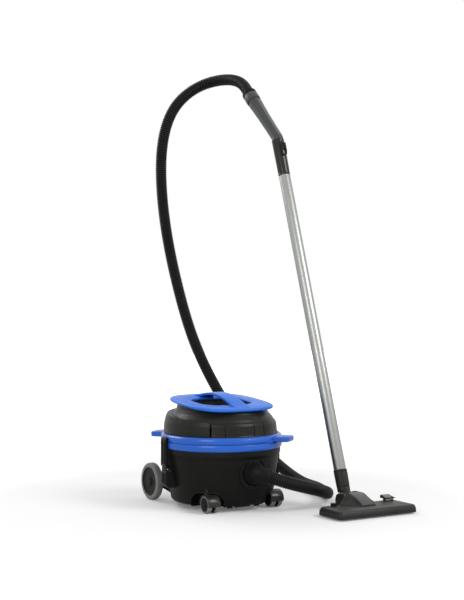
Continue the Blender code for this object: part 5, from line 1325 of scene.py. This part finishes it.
def makeLatches():
    half, pivotR, pivotZ, footZ = latch["wide"] / 2, latch["pivotR"], latch["pivotZ"], latch["footZ"]
    ear = 0.0042
    barrelHalf = half - ear - clearance
    for angle, word in zip(latch["angles"], ("left", "right")):
        turn = turned(z=angle)
        swing = turned(x=90, z=angle)
        innerR = tubRadius(footZ) - 0.006
        outline = rounded([(innerR, footZ, 0), (pivotR - 0.004, footZ, 0.003), (pivotR + 0.005, footZ + 0.008, 0.006),
                (pivotR + 0.0062, pivotZ - 0.009, 0.0012), (pivotR + 0.0038, pivotZ - 0.0065, 0.001),
                (pivotR + 0.0038, pivotZ + 0.005, 0.002), (pivotR + 0.002, pivotZ + 0.0062, 0.001),
                (innerR, pivotZ + 0.0062, 0)], 5)
        bracket = makePiece("latchBracket" + word.capitalize(), acrossY(outline, -half, half), "partBlack", turn=turn,
                bevel=0.0012, sharp=50)
        opening = acrossY([(pivotR - 0.0062, pivotZ - 0.0062), (pivotR + 0.02, pivotZ - 0.0062),
                (pivotR + 0.02, pivotZ + 0.02), (pivotR - 0.0062, pivotZ + 0.02)], -half + ear, half - ear)
        pivot = polar(pivotR, angle, pivotZ)
        grooves = [cutter(acrossY([(pivotR + 0.0036, footZ + 0.012), (pivotR + 0.02, footZ + 0.012),
                (pivotR + 0.02, pivotZ - 0.013), (pivotR + 0.0044, pivotZ - 0.013)], middle - half * 0.16,
                middle + half * 0.16), turn=turn) for middle in (-half * 0.55, 0, half * 0.55)]
        cutters = [skinOfTub(), cutter(opening, turn=turn), cutter(rodMesh(0.0019, -half - 0.01, half + 0.01, 24),
                pivot, swing)]
        cut(bracket, cutters + grooves, 35)
        fit(bracket, "black_shell", "latch_bracket_" + word)
        # the catch's channel fills the space between the tub and the lever
        channelLine = [(0.16, 0.1227), (0.1745, 0.1227), (0.1745, 0.128), (0.1798, 0.129), (0.1798, 0.174),
                (0.16, 0.174)]
        channel = makePiece("latchChannel" + word.capitalize(), acrossY(channelLine, -half + 0.001, half - 0.001),
                "partBlack", turn=turn)
        cut(channel, [skinOfTub()], 35)
        fit(channel, "black_shell")

        back = rings["radius"] + 0.0007 - pivotR
        front = back + latch["thick"]
        bottom, top = 0.0074, latch["hookZ"] - pivotZ
        plateLine = rounded([(back, bottom, 0.0006), (front - 0.001, bottom, 0.0008), (front, bottom + 0.003, 0.002),
                (front, top - 0.006, 0.003), (front - 0.0008, top, 0.002), (front - 0.0036, top + 0.0032, 0.002),
                (back - 0.0055, top + 0.0032, 0.0008), (back - 0.0055, top, 0.0003), (back, top, 0)], 5)
        lever = makePiece("latchLever" + word.capitalize(), acrossY(plateLine, -half, half), "partBlack", pivot, turn,
                bevel=0.0012, sharp=50)
        tail = [(-0.0042, -0.0042), (0.0042, -0.0042), (0.0046, bottom + 0.003), (back, bottom + 0.003),
                (-0.0042, 0.0042)]
        joined = [cutter(acrossY(tail, -barrelHalf, barrelHalf), pivot, turn)]
        for way in (-1, 1):
            middle = way * latch["wide"] * 0.24
            ribLine = rounded([(front - 0.001, bottom + 0.004, 0), (front + 0.0018, bottom + 0.009, 0.004),
                    (front + 0.0018, top - 0.012, 0.004), (front - 0.001, top - 0.004, 0)], 5)
            joined.append(cutter(acrossY(ribLine, middle - 0.0022, middle + 0.0022), pivot, turn, bevel=0.0008,
                    sharp=50))
        join(lever, joined, 35)
        cut(lever, [cutter(rodMesh(0.0019, -half, half, 24), pivot, swing)], 35)
        fit(lever, "black_shell", "latch_lever_" + word, body="latch_" + word)
        for way, side in ((-1, "A"), (1, "B")):
            spot = polar(0.1745, angle, 0.112) + polar(half, angle + 90 * way)
            made = makeScrew("latchScrew" + word.capitalize() + side, 0.0024, 0.0006, 0.0005, spot,
                    turned(x=-90 * way, z=angle))
            fit(made, "steel")
    print("latches made")


# the switch and the place where the mains lead comes in
controls = {"switchAngle": 60, "glandAngle": 82, "z": 0.232, "out": 0.1715}


def makeControls():
    angle = controls["switchAngle"]
    turn = turned(y=90, z=angle)
    spot = polar(controls["out"], angle, controls["z"])
    profile = rounded([(0, -0.014, 0), (0.011, -0.014, 0), (0.011, -0.0014, 0.0012), (0.0096, 0, 0.001),
            (0.006, -0.0008, 0.003), (0, -0.0012, 0)], 5)
    button = makePiece("powerSwitch", turnedMesh(profile, 64), "glossBlack", spot, turn, sharp=45)
    fit(button, "black_shell", "power_switch", body="power_switch")
    rim = makePiece("switchRim", spunMesh([(0.0113, -0.008, 0), (0.015, -0.008, 0), (0.015, -0.003, 0.001),
            (0.0132, -0.0016, 0.001), (0.0113, -0.002, 0.0004)], 3, 64), "partBlack", spot, turn)
    fit(rim, "head_plastic")
    angle = controls["glandAngle"]
    turn = turned(y=90, z=angle)
    spot = polar(controls["out"], angle, controls["z"])
    flange = -0.0032
    profile = [(0.004, -0.012, 0), (0.008, -0.012, 0), (0.008, flange, 0), (0.012, flange, 0.0003),
            (0.0114, flange + 0.004, 0.001), (0.0084, flange + 0.0046, 0.001)]
    for k in range(5):
        z = flange + 0.0062 + 0.003 * k
        reach = 0.008 - 0.0003 * k
        profile += [(reach - 0.001, z - 0.0006, 0.0003), (reach, z, 0.0003), (reach, z + 0.0012, 0.0003),
                (reach - 0.001, z + 0.0016, 0.0003)]
    profile += [(0.0062, flange + 0.022, 0.0004), (0.004, flange + 0.022, 0)]
    gland = makePiece("cordGland", spunMesh(profile, 2, 64), "softRubber", spot, turn, sharp=40)
    fit(gland, "black_rubber", "cord_gland")
    print("switch and gland made")


# the cloth filter and the paper bag inside the tub
def makeInsides():
    # the filter is a felt cup drawn over the basket, with shallow vertical creases
    line = rounded([(0.1392, 0.11, 0), (0.1392, 0.1898, 0.001), (0.1418, 0.1898, 0.0008), (0.1412, 0.13, 0.01),
            (0.1396, 0.1078, 0.003), (0.0585, 0.1078, 0.001), (0.0585, 0.1096, 0)], 5)
    mesh = turnedMesh(line, 240)
    for vert in mesh.verts:
        reach = math.hypot(vert.co.x, vert.co.y)
        if reach > 0.14 and vert.co.z < 0.188:
            angle = math.atan2(vert.co.y, vert.co.x)
            pull = 0.0006 * (math.sin(20 * angle) + 0.6 * math.sin(33 * angle + 4 * vert.co.z / 0.05)) - 0.0006
            vert.co.x *= 1 + pull / reach
            vert.co.y *= 1 + pull / reach
    cup = makePiece("feltFilter", mesh, "filterFelt", sharp=60)
    fit(cup, "filter_cloth", "cloth_filter")
    # the bag: folded paper, fuller in its middle, gathered at the neck
    levels = []
    heights = [(0.0192, 0.06), (0.02, 0.071), (0.0225, 0.078), (0.028, 0.084), (0.036, 0.088), (0.046, 0.0905),
            (0.056, 0.0912), (0.066, 0.0908), (0.076, 0.0895), (0.086, 0.087), (0.094, 0.082), (0.0995, 0.0745),
            (0.1018, 0.066)]
    for z, reach in heights:
        level = []
        for k in range(120):
            angle = 2 * math.pi * k / 120
            fold = 0.0016 * math.sin(9 * angle + 30 * z) * math.sin(5 * angle + 1.3)
            fold += 0.0007 * math.sin(24 * angle + 60 * z)
            share = min(1.0, (z - 0.0192) / 0.02)
            radius = reach - 0.0018 + fold * share
            level.append((radius * math.cos(angle), radius * math.sin(angle), z))
        levels.append(level)
    bag = makePiece("paperBag", loftedMesh(levels), "bagPaper", sharp=60)
    low, high = 0.0733, 0.1022
    neck = cutter(blockMesh((inlet["x"] - 0.0255, -0.148, low), (inlet["x"] + 0.0255, -0.062, high)), bevel=0.004,
            sharp=50)
    tongue = cutter(blockMesh((inlet["x"] - 0.0255, -0.1483, 0.0935), (inlet["x"] + 0.0255, -0.146, 0.1355)),
            bevel=0.0006, sharp=50)
    join(bag, [neck, tongue], 50)
    mouth = cutter(rodMesh(0.0165, 0.144, 0.17, 48), (inlet["x"], 0, inlet["z"]), alongY)
    cut(bag, [mouth], 50)
    fit(bag, "bag_paper", "dust_bag")
    print("filter and bag made")


makeInlet()
makeWand()
makeHandle()
makeNeck()
makeShoe()
makePedal()
makeKnob()
makeDome()
makeBrushes()
makeRearWheels()
makeCasters()
makeLatches()
makeControls()
makeInsides()

# CAD pieces that stay as they are get their finish here
staying = {"softRubber": ["tub_seal"], "partBlack": ["head_base", "filter_basket"],
        "turnedSteel": ["fan_housing", "motor_body", "impeller", "rear_axle", "caster_axle_left", "caster_axle_right",
        "latch_pin_left", "latch_pin_right", "neck_pin", "pedal_pin", "sole_plate"], "bagPaper": ["bag_collar"]}


def dressStaying():
    for material, names in staying.items():
        for name in names:
            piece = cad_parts[name]
            piece.data.materials.clear()
            piece.data.materials.append(materials[material])


dressStaying()

# the room: a plain pale floor and backdrop with soft light
room = {"floorColour": (0.8, 0.8, 0.8, 1), "worldSeen": 1.0, "worldLight": 0.55, "fade": (0.7, 3.0), "nearGlow": 0.12}
lamps = [
    {"name": "keyLamp", "place": (1.6, -2.6, 2.6), "aim": (0, 0, 0.4), "size": (1.6, 1.6), "power": 60.0},
    {"name": "fillLamp", "place": (-2.6, -1.6, 1.8), "aim": (0, 0, 0.4), "size": (1.4, 1.8), "power": 30.0},
    {"name": "backLamp", "place": (-0.6, 2.6, 2.4), "aim": (0, 0, 0.5), "size": (2.0, 1.2), "power": 35.0},
]


def makeRoom():
    world = bpy.data.worlds.new("softWorld")
    world.use_nodes = True
    tree = world.node_tree
    background = tree.nodes["Background"]
    paths = node(tree, "LightPath")
    seen = worked(tree, "MAXIMUM", paths.outputs["Is Camera Ray"], paths.outputs["Is Transmission Ray"])
    seen = worked(tree, "MAXIMUM", seen, paths.outputs["Is Glossy Ray"])
    strength = remap(tree, seen, 0.0, 1.0, room["worldLight"], room["worldSeen"])
    tree.links.new(strength, background.inputs["Strength"])
    background.inputs["Color"].default_value = (1, 1, 1, 1)
    bpy.context.scene.world = world

    floor = makePiece("floor", blockMesh((-9, -9, -0.02), (9, 9, 0)), None, (0, 0, -0.0002))
    material = bpy.data.materials.new("paleFloor")
    material.use_nodes = True
    tree = material.node_tree
    shader = tree.nodes["Principled BSDF"]
    shader.inputs["Base Color"].default_value = room["floorColour"]
    shader.inputs["Roughness"].default_value = 0.9
    # far from the machine the floor glows to the same white as the backdrop
    length = node(tree, "VectorMath", operation="LENGTH")
    tree.links.new(node(tree, "TexCoord").outputs["Object"], length.inputs[0])
    seen = node(tree, "LightPath").outputs["Is Camera Ray"]
    glow = times(tree, remap(tree, length.outputs["Value"], *room["fade"], room["nearGlow"], 1.0), seen)
    shader.inputs["Emission Color"].default_value = (1, 1, 1, 1)
    tree.links.new(glow, shader.inputs["Emission Strength"])
    floor.data.materials.append(material)
    for lamp in lamps:
        data = bpy.data.lights.new(lamp["name"], "AREA")
        data.shape = "RECTANGLE"
        data.size, data.size_y = lamp["size"]
        data.energy = lamp["power"]
        made = bpy.data.objects.new(lamp["name"], data)
        bpy.context.scene.collection.objects.link(made)
        made.location = at(*lamp["place"])
        made.rotation_euler = (at(*lamp["aim"]) - made.location).to_track_quat("-Z", "Y").to_euler()
    bpy.context.scene.view_settings.view_transform = "Standard"
    print("room and lamps made")


makeRoom()
